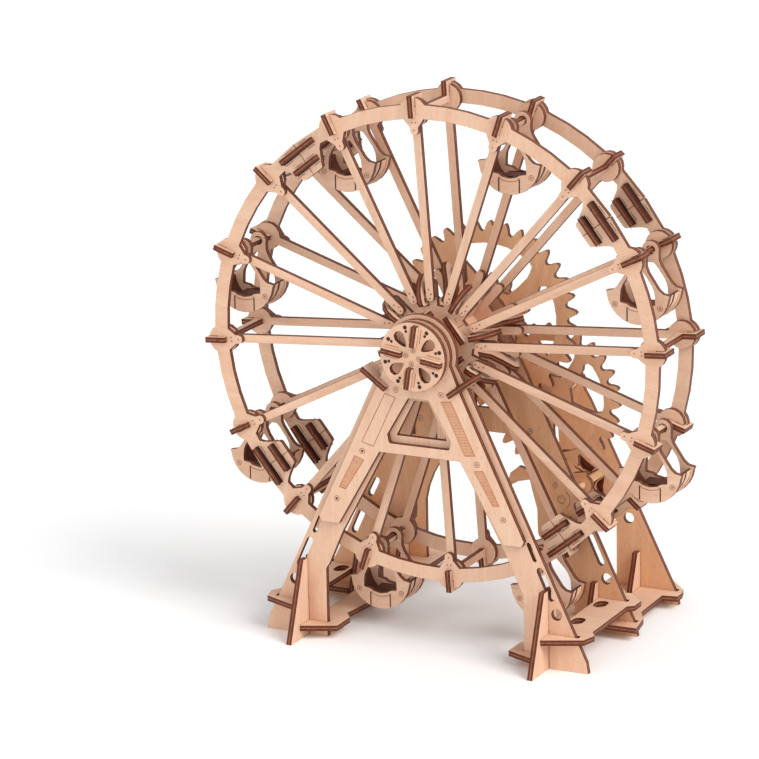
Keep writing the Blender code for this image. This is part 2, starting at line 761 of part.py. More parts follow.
def gear_windows(hub, rim, arms, arm_width, turn, swirl):
    """The openings between curved arms."""
    loops = []
    for number in range(arms):
        lower, upper = turn + 360 / arms * number, turn + 360 / arms * (number + 1)
        edge = []
        for step in range(4):
            radius = hub + (rim - hub) * step / 3
            away = degrees(asin(arm_width / 2 / radius))
            edge.append((radius, away, swirl * step / 3))
        outer_low = lower + edge[-1][1] + edge[-1][2]
        outer_high = upper - edge[-1][1] + edge[-1][2]
        inner_low = lower + edge[0][1]
        inner_high = upper - edge[0][1]
        corner = min((rim - hub) / 5, rim * radians(outer_high - outer_low) / 5)
        lean = degrees(corner / rim)
        loop = [polar(r, lower + a + s) for r, a, s in edge[:-1]]
        loop += [polar(rim - corner, outer_low), polar(rim - corner / 4, outer_low + lean / 3)]
        loop += arc((0, 0), rim, outer_low + lean, outer_high - lean, 6)
        loop += [polar(rim - corner / 4, outer_high - lean / 3), polar(rim - corner, outer_high)]
        loop += [polar(r, upper - a + s) for r, a, s in reversed(edge[:-1])]
        if inner_high > inner_low:
            loops.append(loop)
    return loops


def gear_mesh(name, teeth, bore, steps, windows=()):
    hole = circle((0, 0), bore, steps)
    return flat_mesh(name, [gear_outline(teeth), hole, *windows], PLY)


def leg_edge(z):
    """The x of the outer edge of a leg at a depth z below the axle."""
    slope = (FLARE_X - NECK_X) / (FLARE_Z - NECK_Z)
    return NECK_X + slope * (z - NECK_Z)


def frame_head(notch):
    """The outer edge of the head that carries the axle, from its top down to the neck."""
    return arc((0, 0), HEAD_RADIUS, 90, HEAD_END, HEAD_STEPS) + notch + [(NECK_X, -NECK_Z)]


def frame_loops(top, inner, singles, pairs, inner_left=None):
    """An A-frame: top runs down to the legs, inner from the foot up, and both legs have the pairs."""
    half = FIT + PLY / 2
    outer = top + [(FLARE_X, -FLARE_Z), (FOOT_OUTER_X, -AXIS_HEIGHT)]
    slot = [
        (FOOT_X + half, -AXIS_HEIGHT),
        (FOOT_X + half, -FOOT_JOINT_Z),
        (FOOT_X - half, -FOOT_JOINT_Z),
        (FOOT_X - half, -AXIS_HEIGHT),
    ]
    right = outer + slot + [(FOOT_INNER_X, -AXIS_HEIGHT)] + inner
    left = outer + slot + [(FOOT_INNER_X, -AXIS_HEIGHT)] + (inner_left or inner)
    loops = [right + mirrored(left)[:-1], *singles]
    for opening in pairs:
        loops += [opening, mirrored(opening)]
    return loops


def leg_place(share):
    """A place on the frames from its shares of the half width and the height of the stand."""
    return (share[0] * FOOT_OUTER_X, -share[1] * AXIS_HEIGHT)


def leg_slot(end_shares, half):
    return slot_loop(leg_place(end_shares[0]), leg_place(end_shares[1]), half, 3)


def axle_hole():
    return circle((0, 0), AXLE_RADIUS + FIT, AXLE_STEPS)


def peep_hole(place):
    return circle(place, PEEP_RADIUS, PEEP_STEPS)


def frame_window(margin):
    corners = [
        (WINDOW_TOP_X + margin / 2, -WINDOW_TOP_Z + margin / 2),
        (WINDOW_BOTTOM_X + margin, -WINDOW_BOTTOM_Z + margin / 4),
        (WINDOW_BOTTOM_X + margin * 3 / 4, -WINDOW_BOTTOM_Z - margin),
    ]
    return rounded(corners + mirrored(corners), WINDOW_ROUND / 2, 2)


def front_inner():
    return [(FOOT_INNER_X, -ANKLE_Z - PLY), (ANKLE_X, -ANKLE_Z), (KNEE_X, -KNEE_Z), (CROTCH_X, -CROTCH_Z)]


def back_inner(shares):
    """The inner edge of a leg of the middle or rear frame, from the foot up."""
    return [(FOOT_INNER_X, -PEEP_Z - PLY)] + [leg_place(share) for share in reversed(shares)]


def drive_centre():
    distance = MODULE * (PINION_TEETH + DRIVE_TEETH) / 2
    return polar(distance, DRIVE_CENTRE_ANGLE)


def neck_edge(margin):
    """The upper and lower ends of the edge of the neck, on the right."""
    return polar(HEAD_RADIUS - margin / 2, HEAD_END), (NECK_X - margin, -NECK_Z)


def clamp_place():
    """Where the right clamp crosses the edge of the neck."""
    (x1, z1), (x2, z2) = neck_edge(0)
    return (x1 + (x2 - x1) * CLAMP_SHARE, z1 + (z2 - z1) * CLAMP_SHARE)


def clamp_notch(margin):
    """The notch of a clamp in the edge of the neck, from its upper to its lower side."""
    start, end = (Vector(point) for point in neck_edge(margin))
    edge = end - start
    ahead, down = Vector(polar(1, CLAMP_HEADING)), Vector(polar(1, CLAMP_HEADING - 90))
    bottom = Vector(clamp_place()) - ahead * (CLAMP_GRIP + FIT)
    corners = [bottom - down * (PLY / 2 + FIT), bottom + down * (PLY / 2 + FIT)]
    mouths = [corner + ahead * ((start - corner).cross(edge) / ahead.cross(edge)) for corner in corners]
    return [tuple(point) for point in (mouths[0], corners[0], corners[1], mouths[1])]


def tie_slot(share):
    half_x, half_z = PLY / 2 + FIT, TIE_DEPTH / 2 + FIT
    loop = [(-half_x, -half_z), (half_x, -half_z), (half_x, half_z), (-half_x, half_z)]
    return moved(loop, leg_place(share))


def front_frame(kit):
    slots = [leg_slot(LONG_SLOT_SHARES, LONG_SLOT_HALF), leg_slot(SHORT_SLOT_SHARES, SHORT_SLOT_HALF)]
    pairs = [peep_hole((PEEP_X, -PEEP_Z)), *slots]
    loops = frame_loops(frame_head(clamp_notch(0)), front_inner(), [axle_hole(), frame_window(0)], pairs)
    mesh = placed(flat_mesh("front_frame", loops, PLY), upright(-FRAME_STEP_BACK))
    kit.node("front_frame", mesh, PALE_BIRCH)


def facing_outline():
    """The sheet on the face of the front frame, narrower than its legs."""
    head = arc((0, 0), HEAD_RADIUS - FACING_OUTER_MARGIN / 2, 90, HEAD_END, HEAD_STEPS)
    top = clamp_notch(FACING_OUTER_MARGIN) + [(NECK_X - FACING_OUTER_MARGIN, -NECK_Z)]
    low_outer = (leg_edge(FACING_END_Z - PLY) - FACING_OUTER_MARGIN, -FACING_END_Z + PLY)
    slope = (KNEE_X - CROTCH_X) / (KNEE_Z - CROTCH_Z)
    low_inner_x = CROTCH_X + slope * (FACING_END_Z - CROTCH_Z) + FACING_INNER_MARGIN
    end = [(low_outer[0] - PLY / 2, -FACING_END_Z), (low_inner_x, -FACING_END_Z)]
    crotch = [(CROTCH_X + FACING_INNER_MARGIN / 2, -CROTCH_Z)]
    return head + top + [low_outer] + end + crotch


def front_facing(kit):
    right = facing_outline()
    loop = right + mirrored(right)[:-1]
    loops = [loop, axle_hole(), frame_window(FACING_WINDOW_MARGIN)]
    mesh = placed(flat_mesh("front_facing", loops, PLY), upright(-FRAME_STEP_BACK - PLY - FIT))
    kit.node("front_facing", mesh, PALE_BIRCH)


def clamps(kit):
    """Two slabs that grip the front frame and its facing at the edge of the neck."""
    place = clamp_place()
    facing_front = -FRAME_STEP_BACK - PLY - FIT
    front, rear = facing_front - CLAMP_PROUD, -FRAME_STEP_BACK + PLY + CLAMP_PROUD
    outline = [
        (-CLAMP_INWARD, front),
        (CLAMP_OUTWARD, front),
        (CLAMP_OUTWARD, rear),
        (-CLAMP_INWARD, rear),
        (-CLAMP_INWARD, -FRAME_STEP_BACK + PLY + FIT),
        (-CLAMP_GRIP, -FRAME_STEP_BACK + PLY + FIT),
        (-CLAMP_GRIP, facing_front - FIT),
        (-CLAMP_INWARD, facing_front - FIT),
    ]
    for name, side in (("clamp_right", 1), ("clamp_left", -1)):
        mesh = flat_mesh(name, [outline], PLY)
        turn = CLAMP_HEADING if side > 0 else 180 - CLAMP_HEADING
        lean = Matrix.Rotation(radians(-turn), 4, "Y")
        stand = Matrix.Translation((side * place[0], 0, place[1])) @ lean
        kit.node(name, placed(mesh, stand), BURNT_EDGE)


def pin_hole(room):
    return circle((LEVER_PIN_X, -LEVER_PIN_Z), LEVER_PIN_RADIUS + room, PEEP_STEPS)


def shared_holes():
    """The openings that the middle and rear frames have in line: window, lever pin and ties."""
    return [frame_window(0), pin_hole(FIT), tie_slot(TIE_LEFT_SHARE), tie_slot(TIE_RIGHT_SHARE)]


def middle_frame(kit):
    """The middle A-frame, with a blind seat from behind for the end of the drive shaft."""
    upper_slot = leg_slot(MIDDLE_UPPER_SLOT_SHARES, MIDDLE_UPPER_SLOT_HALF)
    pairs = [peep_hole((PEEP_X, -PEEP_Z)), leg_slot(LONG_SLOT_SHARES, LONG_SLOT_HALF), upper_slot]
    singles = [axle_hole(), *shared_holes()]
    loops = frame_loops(frame_head([]), back_inner(MIDDLE_INNER_SHARES), singles, pairs)
    sheet = placed(flat_mesh("middle_frame", loops, PLY), upright(MIDDLE_FACE))
    rear = MIDDLE_FACE + PLY
    ends = (rear - SHAFT_SEAT - FIT, rear + CUT_OVERRUN)
    seat = rod_mesh("seat", SHAFT_RADIUS + FIT, *ends, SHAFT_STEPS, drive_centre())
    kit.node("middle_frame", kit.shaped("middle_frame", sheet, cuts=[seat]), WARM_BIRCH)


def rear_frame(kit):
    """The rear A-frame, lower than the axle, whose right leg has a wing with two bent recesses."""
    top = [leg_place(share) for share in REAR_TOP_SHARES]
    vees = [[leg_place(share) for share in shares] for shares in REAR_VEE_SHARES]
    right = back_inner(REAR_WING_SHARES + REAR_SLIM_SHARES)
    left = back_inner(REAR_INNER_SHARES + REAR_SLIM_SHARES)
    bearing = circle(drive_centre(), SHAFT_RADIUS + FIT, SHAFT_STEPS)
    singles = [*shared_holes(), bearing, *vees]
    loops = frame_loops(top, right, singles, [peep_hole(leg_place(REAR_HOLE_SHARE))], left)
    sheet = placed(flat_mesh("rear_frame", loops, PLY), upright(REAR_FACE))
    outline = [leg_place(share) for share in REAR_PATCH_SHARES]
    patch = placed(flat_mesh("patch", [outline, pin_hole(2 * FIT)], PLY), upright(REAR_FACE + PLY - LAP))
    kit.node("rear_frame", kit.shaped("rear_frame", sheet, joins=[patch]), WARM_BIRCH)


def frame_faces():
    return (("front", -FRAME_STEP_BACK), ("middle", MIDDLE_FACE), ("rear", REAR_FACE))


def foot_outline(face, top, top_reach, reach):
    """A cross plate in (y, z), with a slot from above for the leg that it straddles."""
    leg = face + PLY / 2
    half = PLY / 2 + FIT
    joint = -FOOT_JOINT_Z
    return [
        (face - reach, -AXIS_HEIGHT),
        (face - top_reach, -top),
        (leg - half, -top),
        (leg - half, joint - FIT),
        (leg + half, joint - FIT),
        (leg + half, -top),
        (face + PLY + FOOT_REAR_TOP_REACH, -top),
        (face + PLY + FOOT_REAR_REACH, -AXIS_HEIGHT),
    ]


def feet(kit):
    across = Matrix(((0, 0, 1, 0), (1, 0, 0, 0), (0, 1, 0, 0), (0, 0, 0, 1)))
    for where, face in frame_faces():
        front = where == "front"
        top = FRONT_FOOT_TOP if front else BACK_FOOT_TOP
        top_reach = FRONT_FOOT_TOP_REACH if front else BACK_FOOT_TOP_REACH
        reach = FRONT_FOOT_REACH if front else BACK_FOOT_REACH
        for side_name, side in (("left", -1), ("right", 1)):
            name = f"foot_{where}_{side_name}"
            mesh = flat_mesh(name, [foot_outline(face, top, top_reach, reach)], PLY)
            kit.node(name, placed(mesh, Matrix.Translation((side * FOOT_X, 0, 0)) @ across), PALE_BIRCH)


def leg_outer_at(height):
    """The x of the outer edge of a leg at this height over the ground."""
    depth = AXIS_HEIGHT - height
    if depth <= FLARE_Z:
        return leg_edge(depth)
    share = (depth - FLARE_Z) / (AXIS_HEIGHT - FLARE_Z)
    return FLARE_X + (FOOT_OUTER_X - FLARE_X) * share


def upper_base_outline():
    """The outer base plate, from the front leg to the middle leg, open for both on its inside."""
    inside = FOOT_X + PLY / 2 + FIT
    reach = leg_outer_at(UPPER_BASE_Z) + FIT
    loop = [(inside, -UPPER_TIP_Y), (UPPER_FRONT_X, -UPPER_FRONT_Y), (UPPER_WIDE_X, -UPPER_WIDE_FRONT_Y)]
    loop += [(UPPER_NARROW_X, -UPPER_NARROW_FRONT_Y), (UPPER_NARROW_X, UPPER_NARROW_REAR_Y)]
    loop += [(UPPER_WIDE_X, UPPER_WIDE_REAR_Y), (UPPER_WIDE_X, UPPER_SHOULDER_Y)]
    loop += [(UPPER_TAIL_X, UPPER_TAIL_Y), (inside, UPPER_TAIL_Y)]
    for face in (MIDDLE_FACE, -FRAME_STEP_BACK):
        rear = face + PLY + FIT
        loop += [(inside, rear), (reach, rear), (reach, face - FIT), (inside, face - FIT)]
    return loop


def plus_loop(face, reach_front, reach_rear, height):
    """The opening of a base plate round a leg and its cross plate."""
    half = PLY / 2 + FIT
    low, high = FOOT_INNER_X - FIT, leg_outer_at(height) + FIT
    front, rear = face - reach_front - FIT, face + PLY + reach_rear + FIT
    return [
        (low, face - FIT),
        (FOOT_X - half, face - FIT),
        (FOOT_X - half, front),
        (FOOT_X + half, front),
        (FOOT_X + half, face - FIT),
        (high, face - FIT),
        (high, face + PLY + FIT),
        (FOOT_X + half, face + PLY + FIT),
        (FOOT_X + half, rear),
        (FOOT_X - half, rear),
        (FOOT_X - half, face + PLY + FIT),
        (low, face + PLY + FIT),
    ]


def foot_reach_at(height, top, top_reach, reach):
    """How far a cross plate reaches from its leg at this height over the ground."""
    share = height / (AXIS_HEIGHT - top)
    return reach + (top_reach - reach) * share


def lower_base_outline():
    """The inner base plate: inside the front foot, then round the middle and rear feet."""
    inside = FOOT_X - PLY / 2 - FIT
    front = -FRAME_STEP_BACK
    notch = FOOT_INNER_X - FIT
    behind = front + PLY + FIT
    tail_in = LOWER_IN_NARROW_X - LOWER_CORNER
    loop = [(inside, -LOWER_TIP_Y), (inside, front - FIT), (notch, front - FIT), (notch, behind)]
    loop += [(inside, behind), (inside, LOWER_STEP_Y - LOWER_CORNER), (inside + LOWER_CORNER, LOWER_STEP_Y)]
    loop += [*LOWER_WIDE, *LOWER_WAIST, (LOWER_TAIL_X, LOWER_TAIL_Y), (tail_in, LOWER_TAIL_Y)]
    loop += [(tail_in, LOWER_STEP_Y), (LOWER_IN_NARROW_X, -LOWER_IN_NARROW_Y)]
    loop += [(LOWER_IN_X, -LOWER_IN_BACK_Y), (LOWER_IN_X, -LOWER_IN_FRONT_Y)]
    return loop


def base_plates(kit):
    rear_reach = foot_reach_at(LOWER_BASE_Z, BACK_FOOT_TOP, FOOT_REAR_TOP_REACH, FOOT_REAR_REACH)
    front_reach = foot_reach_at(LOWER_BASE_Z, BACK_FOOT_TOP, BACK_FOOT_TOP_REACH, BACK_FOOT_REACH)
    for side_name, side in (("left", -1), ("right", 1)):
        upper = [upper_base_outline()]
        for y in OVAL_PLACES:
            upper.append(slot_loop((OVAL_X, y - OVAL_HALF), (OVAL_X, y + OVAL_HALF), OVAL_REACH, 5))
        lower = [lower_base_outline()]
        for face in (MIDDLE_FACE, REAR_FACE):
            lower.append(plus_loop(face, front_reach, rear_reach, LOWER_BASE_Z))
        plates = (("upper_base", upper, UPPER_BASE_Z), ("lower_base", lower, LOWER_BASE_Z))
        for name, loops, height in plates:
            loops = [[(side * x, y) for x, y in loop] for loop in loops]
            mesh = placed(flat_mesh(f"{name}_{side_name}", loops, PLY), level(height - AXIS_HEIGHT))
            kit.node(f"{name}_{side_name}", mesh, PALE_BIRCH)


def frame_ties(kit):
    """Boards between the middle and rear frames, with tenons through both."""
    front, rear = MIDDLE_FACE - TIE_PROUD, REAR_FACE + PLY + TIE_PROUD
    shoulder_front, shoulder_rear = MIDDLE_FACE + PLY + FIT, REAR_FACE - FIT
    half, wide = TIE_DEPTH / 2, TIE_DEPTH * 3 / 4
    loop = [(front, -half), (shoulder_front, -half), (shoulder_front, -wide), (shoulder_rear, -wide)]
    loop += [(shoulder_rear, -half), (rear, -half)]
    loop += [(y, -z) for y, z in reversed(loop)]
    across = Matrix(((0, 0, 1, 0), (1, 0, 0, 0), (0, 1, 0, 0), (0, 0, 0, 1)))
    for name, share in (("frame_tie_left", TIE_LEFT_SHARE), ("frame_tie_right", TIE_RIGHT_SHARE)):
        x, z = leg_place(share)
        stand = Matrix.Translation((x, 0, z)) @ across
        kit.node(name, placed(flat_mesh(name, [loop], PLY), stand), WARM_BIRCH)


def stop_lever(kit):
    """A leaf-tailed lever on its pin, beside the rim of the drive gear."""
    pin_length = (MIDDLE_FACE - TIE_PROUD, REAR_FACE + PLY + TIE_PROUD)
    end = arc((0, 0), LEVER_END_RADIUS, -100, 60, 6)
    tooth = [
        (LEVER_ARM_HALF, LEVER_END_RADIUS + LEVER_TOOTH_REACH / 3),
        (-LEVER_END_RADIUS, LEVER_TOOTH_REACH),
        (-LEVER_END_RADIUS, LEVER_ARM_HALF * 3 / 2),
    ]
    root = (LEVER_LEAF_X + LEVER_LEAF_LENGTH / 2, LEVER_LEAF_Z)
    leaf = [
        (root[0], root[1] + LEVER_ARM_HALF),
        (LEVER_LEAF_X, LEVER_LEAF_Z + LEVER_LEAF_HALF),
        (LEVER_LEAF_X - LEVER_LEAF_LENGTH / 3, LEVER_LEAF_Z),
        (LEVER_LEAF_X - LEVER_LEAF_LENGTH / 2, LEVER_LEAF_Z - LEVER_LEAF_HALF * 2),
        (LEVER_LEAF_X, LEVER_LEAF_Z - LEVER_LEAF_HALF),
        (root[0], root[1] - LEVER_ARM_HALF),
    ]
    loop = end + tooth + leaf
    arm = placed(flat_mesh("stop_lever", [loop], PLY), upright(DRIVE_FRONT))
    pin = rod_mesh("pin", LEVER_PIN_RADIUS, *pin_length, PEEP_STEPS)
    mesh = kit.shaped("stop_lever", arm, joins=[pin])
    kit.node("stop_lever", mesh, WARM_BIRCH, location=(LEVER_PIN_X, 0, AXIS_HEIGHT - LEVER_PIN_Z))


def cabin_panel(name):
    """A boat-shaped panel with two arms to the pivot and a window over its door."""
    share_points = [(x * CABIN_TIP_X, -z * CABIN_TIP_Z) for x, z in CABIN_ARM_SHARES]
    tab = arc((0, 0), CABIN_TAB_RADIUS, 90, -20, 4)
    tip = (CABIN_TIP_X, -CABIN_TIP_Z)
    start = degrees(asin((CABIN_HULL_Z - CABIN_TIP_Z - CABIN_HULL_INSET) / CABIN_HULL_RADIUS))
    hull = arc((0, -CABIN_HULL_Z), CABIN_HULL_RADIUS, start, -90, CABIN_HULL_STEPS // 2)
    right = tab + share_points + [tip] + hull
    outline = right + mirrored(right)[1:-1]
    depth = CABIN_WINDOW_BOTTOM - CABIN_WINDOW_TOP
    side = [(x * CABIN_TIP_X, -CABIN_WINDOW_TOP - depth * z) for x, z in CABIN_WINDOW_SHARES]
    side.append((side[-1][0], -CABIN_WINDOW_BOTTOM))
    corner = (CABIN_DOOR_HALF, -CABIN_WINDOW_BOTTOM - CABIN_DOOR_SAG / 4)
    curve = (CABIN_DOOR_HALF * 3 / 4, -CABIN_WINDOW_BOTTOM - CABIN_DOOR_SAG * 2 / 3)
    middle = (0, -CABIN_WINDOW_BOTTOM - CABIN_DOOR_SAG)
    window = side + [corner, curve, middle]
    window = window + mirrored(window[:-1])
    bore = circle((0, 0), CABIN_BORE, 12)
    return flat_mesh(name, [outline, window, bore], PLY)


def cabin_mesh(kit):
    """Two panels, the hull strip between them and the seat board."""
    panel = cabin_panel("panel")
    half = CABIN_HALF_DEPTH
    front = placed(panel, upright(-half))
    rear = placed(panel, upright(half - PLY))
    outer_radius = CABIN_HULL_RADIUS - CABIN_HULL_INSET
    inner_radius = outer_radius - CABIN_HULL_WALL
    ends = (-6, -174)
    outer = arc((0, -CABIN_HULL_Z), outer_radius, ends[0], ends[1], CABIN_HULL_STEPS)
    inner = arc((0, -CABIN_HULL_Z), inner_radius, ends[1], ends[0], CABIN_HULL_STEPS)
    depth = 2 * (half - PLY + LAP)
    hull = placed(flat_mesh("hull", [outer + inner], depth), upright(-depth / 2, depth))
    seat = box_mesh(
        "seat",
        (-CABIN_SEAT_HALF, -half + PLY - LAP, -CABIN_SEAT_DROP - PLY / 2),
        (CABIN_SEAT_HALF, half - PLY + LAP, -CABIN_SEAT_DROP + PLY / 2),
    )
    shell = kit.shaped("cabin_shell", front, joins=[hull])
    return kit.shaped("cabin", shell, joins=[rear, seat])


def hub_cap(kit):
    """The disc on the front of the axle, with four slabs set in it like a cross."""
    windows = []
    for number in range(CAP_WINDOWS):
        angle = 360 / CAP_WINDOWS * (number + 1 / 2)
        loop = [
            (x * CAP_WINDOW_LONG, y * CAP_WINDOW_WIDE * (1 + x / 2))
            for x, y in circle((0, 0), 1, 10)
        ]
        windows.append(turned(moved(loop, (CAP_WINDOW_RADIUS, 0)), angle))
    outline = circle((0, 0), CAP_RADIUS, CAP_STEPS)
    disc = placed(flat_mesh("hub_cap", [outline, *windows], PLY), upright(-CAP_FRONT))
    front, rear = -CAP_FRONT - CAP_SLAB_PROUD, -CAP_FRONT + PLY + CAP_SLAB_BACK
    slabs = []
    for number in range(4):
        slab = box_mesh("slab", (CAP_SLAB_INNER, front, -PLY / 2), (CAP_SLAB_OUTER, rear, PLY / 2))
        slabs.append(placed(slab, Matrix.Rotation(radians(-90 * number), 4, "Y")))
    bore = rod_mesh("bore", AXLE_RADIUS + FIT, -CAP_FRONT + PLY / 2, rear + CUT_OVERRUN, AXLE_STEPS)
    mesh = kit.shaped("hub_cap", disc, joins=[joined("slabs", slabs)], cuts=[bore])
    kit.node("hub_cap", mesh, PALE_BIRCH, angle=CAP_TURN)


def wheel(kit):
    """The rings, hub, bars and gears that turn together."""
    for side_name, side in (("front", -1), ("rear", 1)):
        mesh = ring_quarter(kit, f"ring_{side_name}", side)
        for quarter in range(QUARTERS):
            first = QUARTERS * quarter + 2
            kit.node(f"ring_{side_name}_{quarter + 1}", mesh, PALE_BIRCH, angle=node_angle(first))
        plate = f"hub_plate_{side_name}"
        kit.node(plate, hub_plate(kit, plate, side), PALE_BIRCH, angle=node_angle(0))
    kit.node("hub_core", hub_core(kit), WARM_BIRCH, angle=node_angle(0))
    axle_rear = DRIVE_FRONT + PLY + AXLE_TAIL
    axle = rod_mesh("wheel_axle", AXLE_RADIUS, -CAP_FRONT + PLY / 2 + FIT, axle_rear, AXLE_STEPS)
    kit.node("wheel_axle", axle, WARM_BIRCH)
    for number in range(NODES):
        odd = number % 2 == 1
        depth = AXLE_BAR_SIDE if odd else TIE_BAR_DEPTH
        use = "cabin_axle" if odd else "tie_bar"
        name = f"{use}_{number // 2 + 1}"
        bar = flat_mesh(name, [cross_bar_outline(depth)], PLY)
        kit.node(name, placed(bar, radial(90)), BURNT_EDGE, angle=node_angle(number) - 90)
    windows = gear_windows(
        WHEEL_GEAR_HUB,
        WHEEL_GEAR_RIM,
        WHEEL_GEAR_ARMS,
        WHEEL_GEAR_ARM_WIDTH,
        WHEEL_GEAR_ARM_TURN,
        WHEEL_GEAR_SWIRL,
    )
    big = gear_mesh("wheel_gear", WHEEL_GEAR_TEETH, AXLE_RADIUS + FIT, AXLE_STEPS, windows)
    kit.node("wheel_gear", placed(big, upright(WHEEL_GEAR_FRONT)), WARM_BIRCH, angle=WHEEL_GEAR_PHASE)
    small = gear_mesh("wheel_pinion", PINION_TEETH, AXLE_RADIUS + FIT, AXLE_STEPS)
    pinion = placed(small, upright(DRIVE_FRONT))
    kit.node("wheel_pinion", pinion, WARM_BIRCH, angle=DRIVE_CENTRE_ANGLE)


def drive(kit):
    """The drive gear and its crank, on the shaft between the middle and rear frames."""
    x, z = drive_centre()
    place = (x, 0, AXIS_HEIGHT + z)
    sizes = (DRIVE_HUB, DRIVE_RIM, DRIVE_ARMS, DRIVE_ARM_WIDTH, DRIVE_ARM_TURN, DRIVE_SWIRL)
    windows = gear_windows(*sizes)
    gear = gear_mesh("drive_gear", DRIVE_TEETH, SHAFT_RADIUS + FIT, SHAFT_STEPS, windows)
    half_tooth = 180 / DRIVE_TEETH
    facing_pinion = DRIVE_CENTRE_ANGLE + 180
    gear = placed(gear, upright(DRIVE_FRONT))
    kit.node("drive_gear", gear, WARM_BIRCH, place, facing_pinion + half_tooth)
    arm_face = REAR_FACE + PLY + 2 * FIT
    shaft_front = MIDDLE_FACE + PLY - SHAFT_SEAT
    shaft = rod_mesh("shaft", SHAFT_RADIUS, shaft_front, arm_face + PLY / 2, SHAFT_STEPS)
    outline = slot_loop((0, 0), (CRANK_LENGTH, 0), CRANK_END_RADIUS, 6)
    arm = placed(flat_mesh("arm", [outline], PLY), upright(arm_face))
    knob_front, knob_rear = arm_face + PLY / 2, arm_face + PLY + KNOB_LENGTH
    knob = rod_mesh("knob", KNOB_RADIUS, knob_front, knob_rear, SHAFT_STEPS, (CRANK_LENGTH, 0))
    crank = kit.shaped("crank", arm, joins=[shaft, knob])
    kit.node("crank", crank, WARM_BIRCH, place, CRANK_ANGLE)


def cabins(kit):
    mesh = cabin_mesh(kit)
    for number in range(NODES // 2):
        x, z = polar(PIVOT_RADIUS, node_angle(2 * number + 1))
        kit.node(f"cabin_{number + 1}", mesh, PALE_BIRCH, (x, 0, AXIS_HEIGHT + z))


def main():
    clear_scene()
    kit = Kit()
    front_frame(kit)
    front_facing(kit)
    clamps(kit)
    middle_frame(kit)
    rear_frame(kit)
    feet(kit)
    base_plates(kit)
    frame_ties(kit)
    stop_lever(kit)
    hub_cap(kit)
    wheel(kit)
    drive(kit)
    cabins(kit)


main()
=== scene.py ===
"""The looks of a wooden ferris wheel kit: laser-cut birch plywood with burnt edges.

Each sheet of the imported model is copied, its rims are eased and scorched, and its faces, cut edges
and dowels get their own finishes. Engraved lines, pin heads and bending cuts are added on top.
"""

import logging
from collections.abc import Callable, Sequence
from dataclasses import dataclass, field
from enum import IntEnum
from math import cos, degrees, radians, sin

import bpy
from mathutils import Matrix, Vector


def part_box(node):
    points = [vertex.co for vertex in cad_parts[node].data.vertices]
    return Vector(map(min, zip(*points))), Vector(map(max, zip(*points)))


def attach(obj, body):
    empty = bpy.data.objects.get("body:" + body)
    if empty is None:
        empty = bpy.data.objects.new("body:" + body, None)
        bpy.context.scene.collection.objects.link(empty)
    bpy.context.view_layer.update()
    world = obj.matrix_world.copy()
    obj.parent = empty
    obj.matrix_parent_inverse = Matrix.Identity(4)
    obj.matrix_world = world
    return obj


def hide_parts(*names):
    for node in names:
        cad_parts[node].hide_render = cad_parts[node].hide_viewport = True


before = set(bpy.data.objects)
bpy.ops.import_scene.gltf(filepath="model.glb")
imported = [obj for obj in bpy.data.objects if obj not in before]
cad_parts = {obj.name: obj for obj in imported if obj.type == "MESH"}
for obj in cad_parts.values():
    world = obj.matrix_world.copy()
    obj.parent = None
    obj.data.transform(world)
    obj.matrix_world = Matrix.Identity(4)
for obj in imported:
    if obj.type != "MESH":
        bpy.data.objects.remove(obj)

log = logging.getLogger("ferris_wheel")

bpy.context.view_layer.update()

# Shared sizes of the part, in metres and degrees
MM = 0.001
PLY = 0.003
AXIS_HEIGHT = 0.1627
CENTRE = Vector((0, 0, AXIS_HEIGHT))
NODE_COUNT = 16
JOINT_COUNT = 4
FIRST_ANGLE = 94.07
PITCH = 360 / NODE_COUNT

# Directions: along the axle to the rear, up, and across the front to the right
ALONG = Vector((0, 1, 0))
UP = Vector((0, 0, 1))
ACROSS = Vector((1, 0, 0))

# How far a point may lie off a face to be on it or near it, and how far to be clear of it
ON_FACE = 0.00005
NEAR_FACE = 0.0001
CLEAR = 0.0002

# Marks: how far their middle stands off the face, and the widths of a fine and a broad line
LIFT = 0.00002
FINE = 0.0003
BROAD = 0.0007
PIN_RADIUS = 0.00165

Place = Vector | tuple[float, float]
Points = tuple[tuple[float, float], ...]


class Slot(IntEnum):
    """The material slots of a finished sheet."""

    FACE = 0
    EDGE = 1
    ROD = 2


class Mark(IntEnum):
    """The material slots of the marks on a face."""

    LINE = 0
    CHAR = 1
    HEAD = 2
    HATCH = 3


def linear(code: str) -> tuple[float, float, float, float]:
    """Turns an sRGB hex colour to the linear values that a shader takes.

    Args:
        code: The colour as #rrggbb.

    Returns:
        Red, green, blue and a full alpha.
    """
    parts = [int(code[place : place + 2], 16) / 255 for place in (1, 3, 5)]
    red, green, blue = (
        part / 12.92 if part <= 0.04045 else ((part + 0.055) / 1.055) ** 2.4 for part in parts
    )
    return (red, green, blue, 1.0)


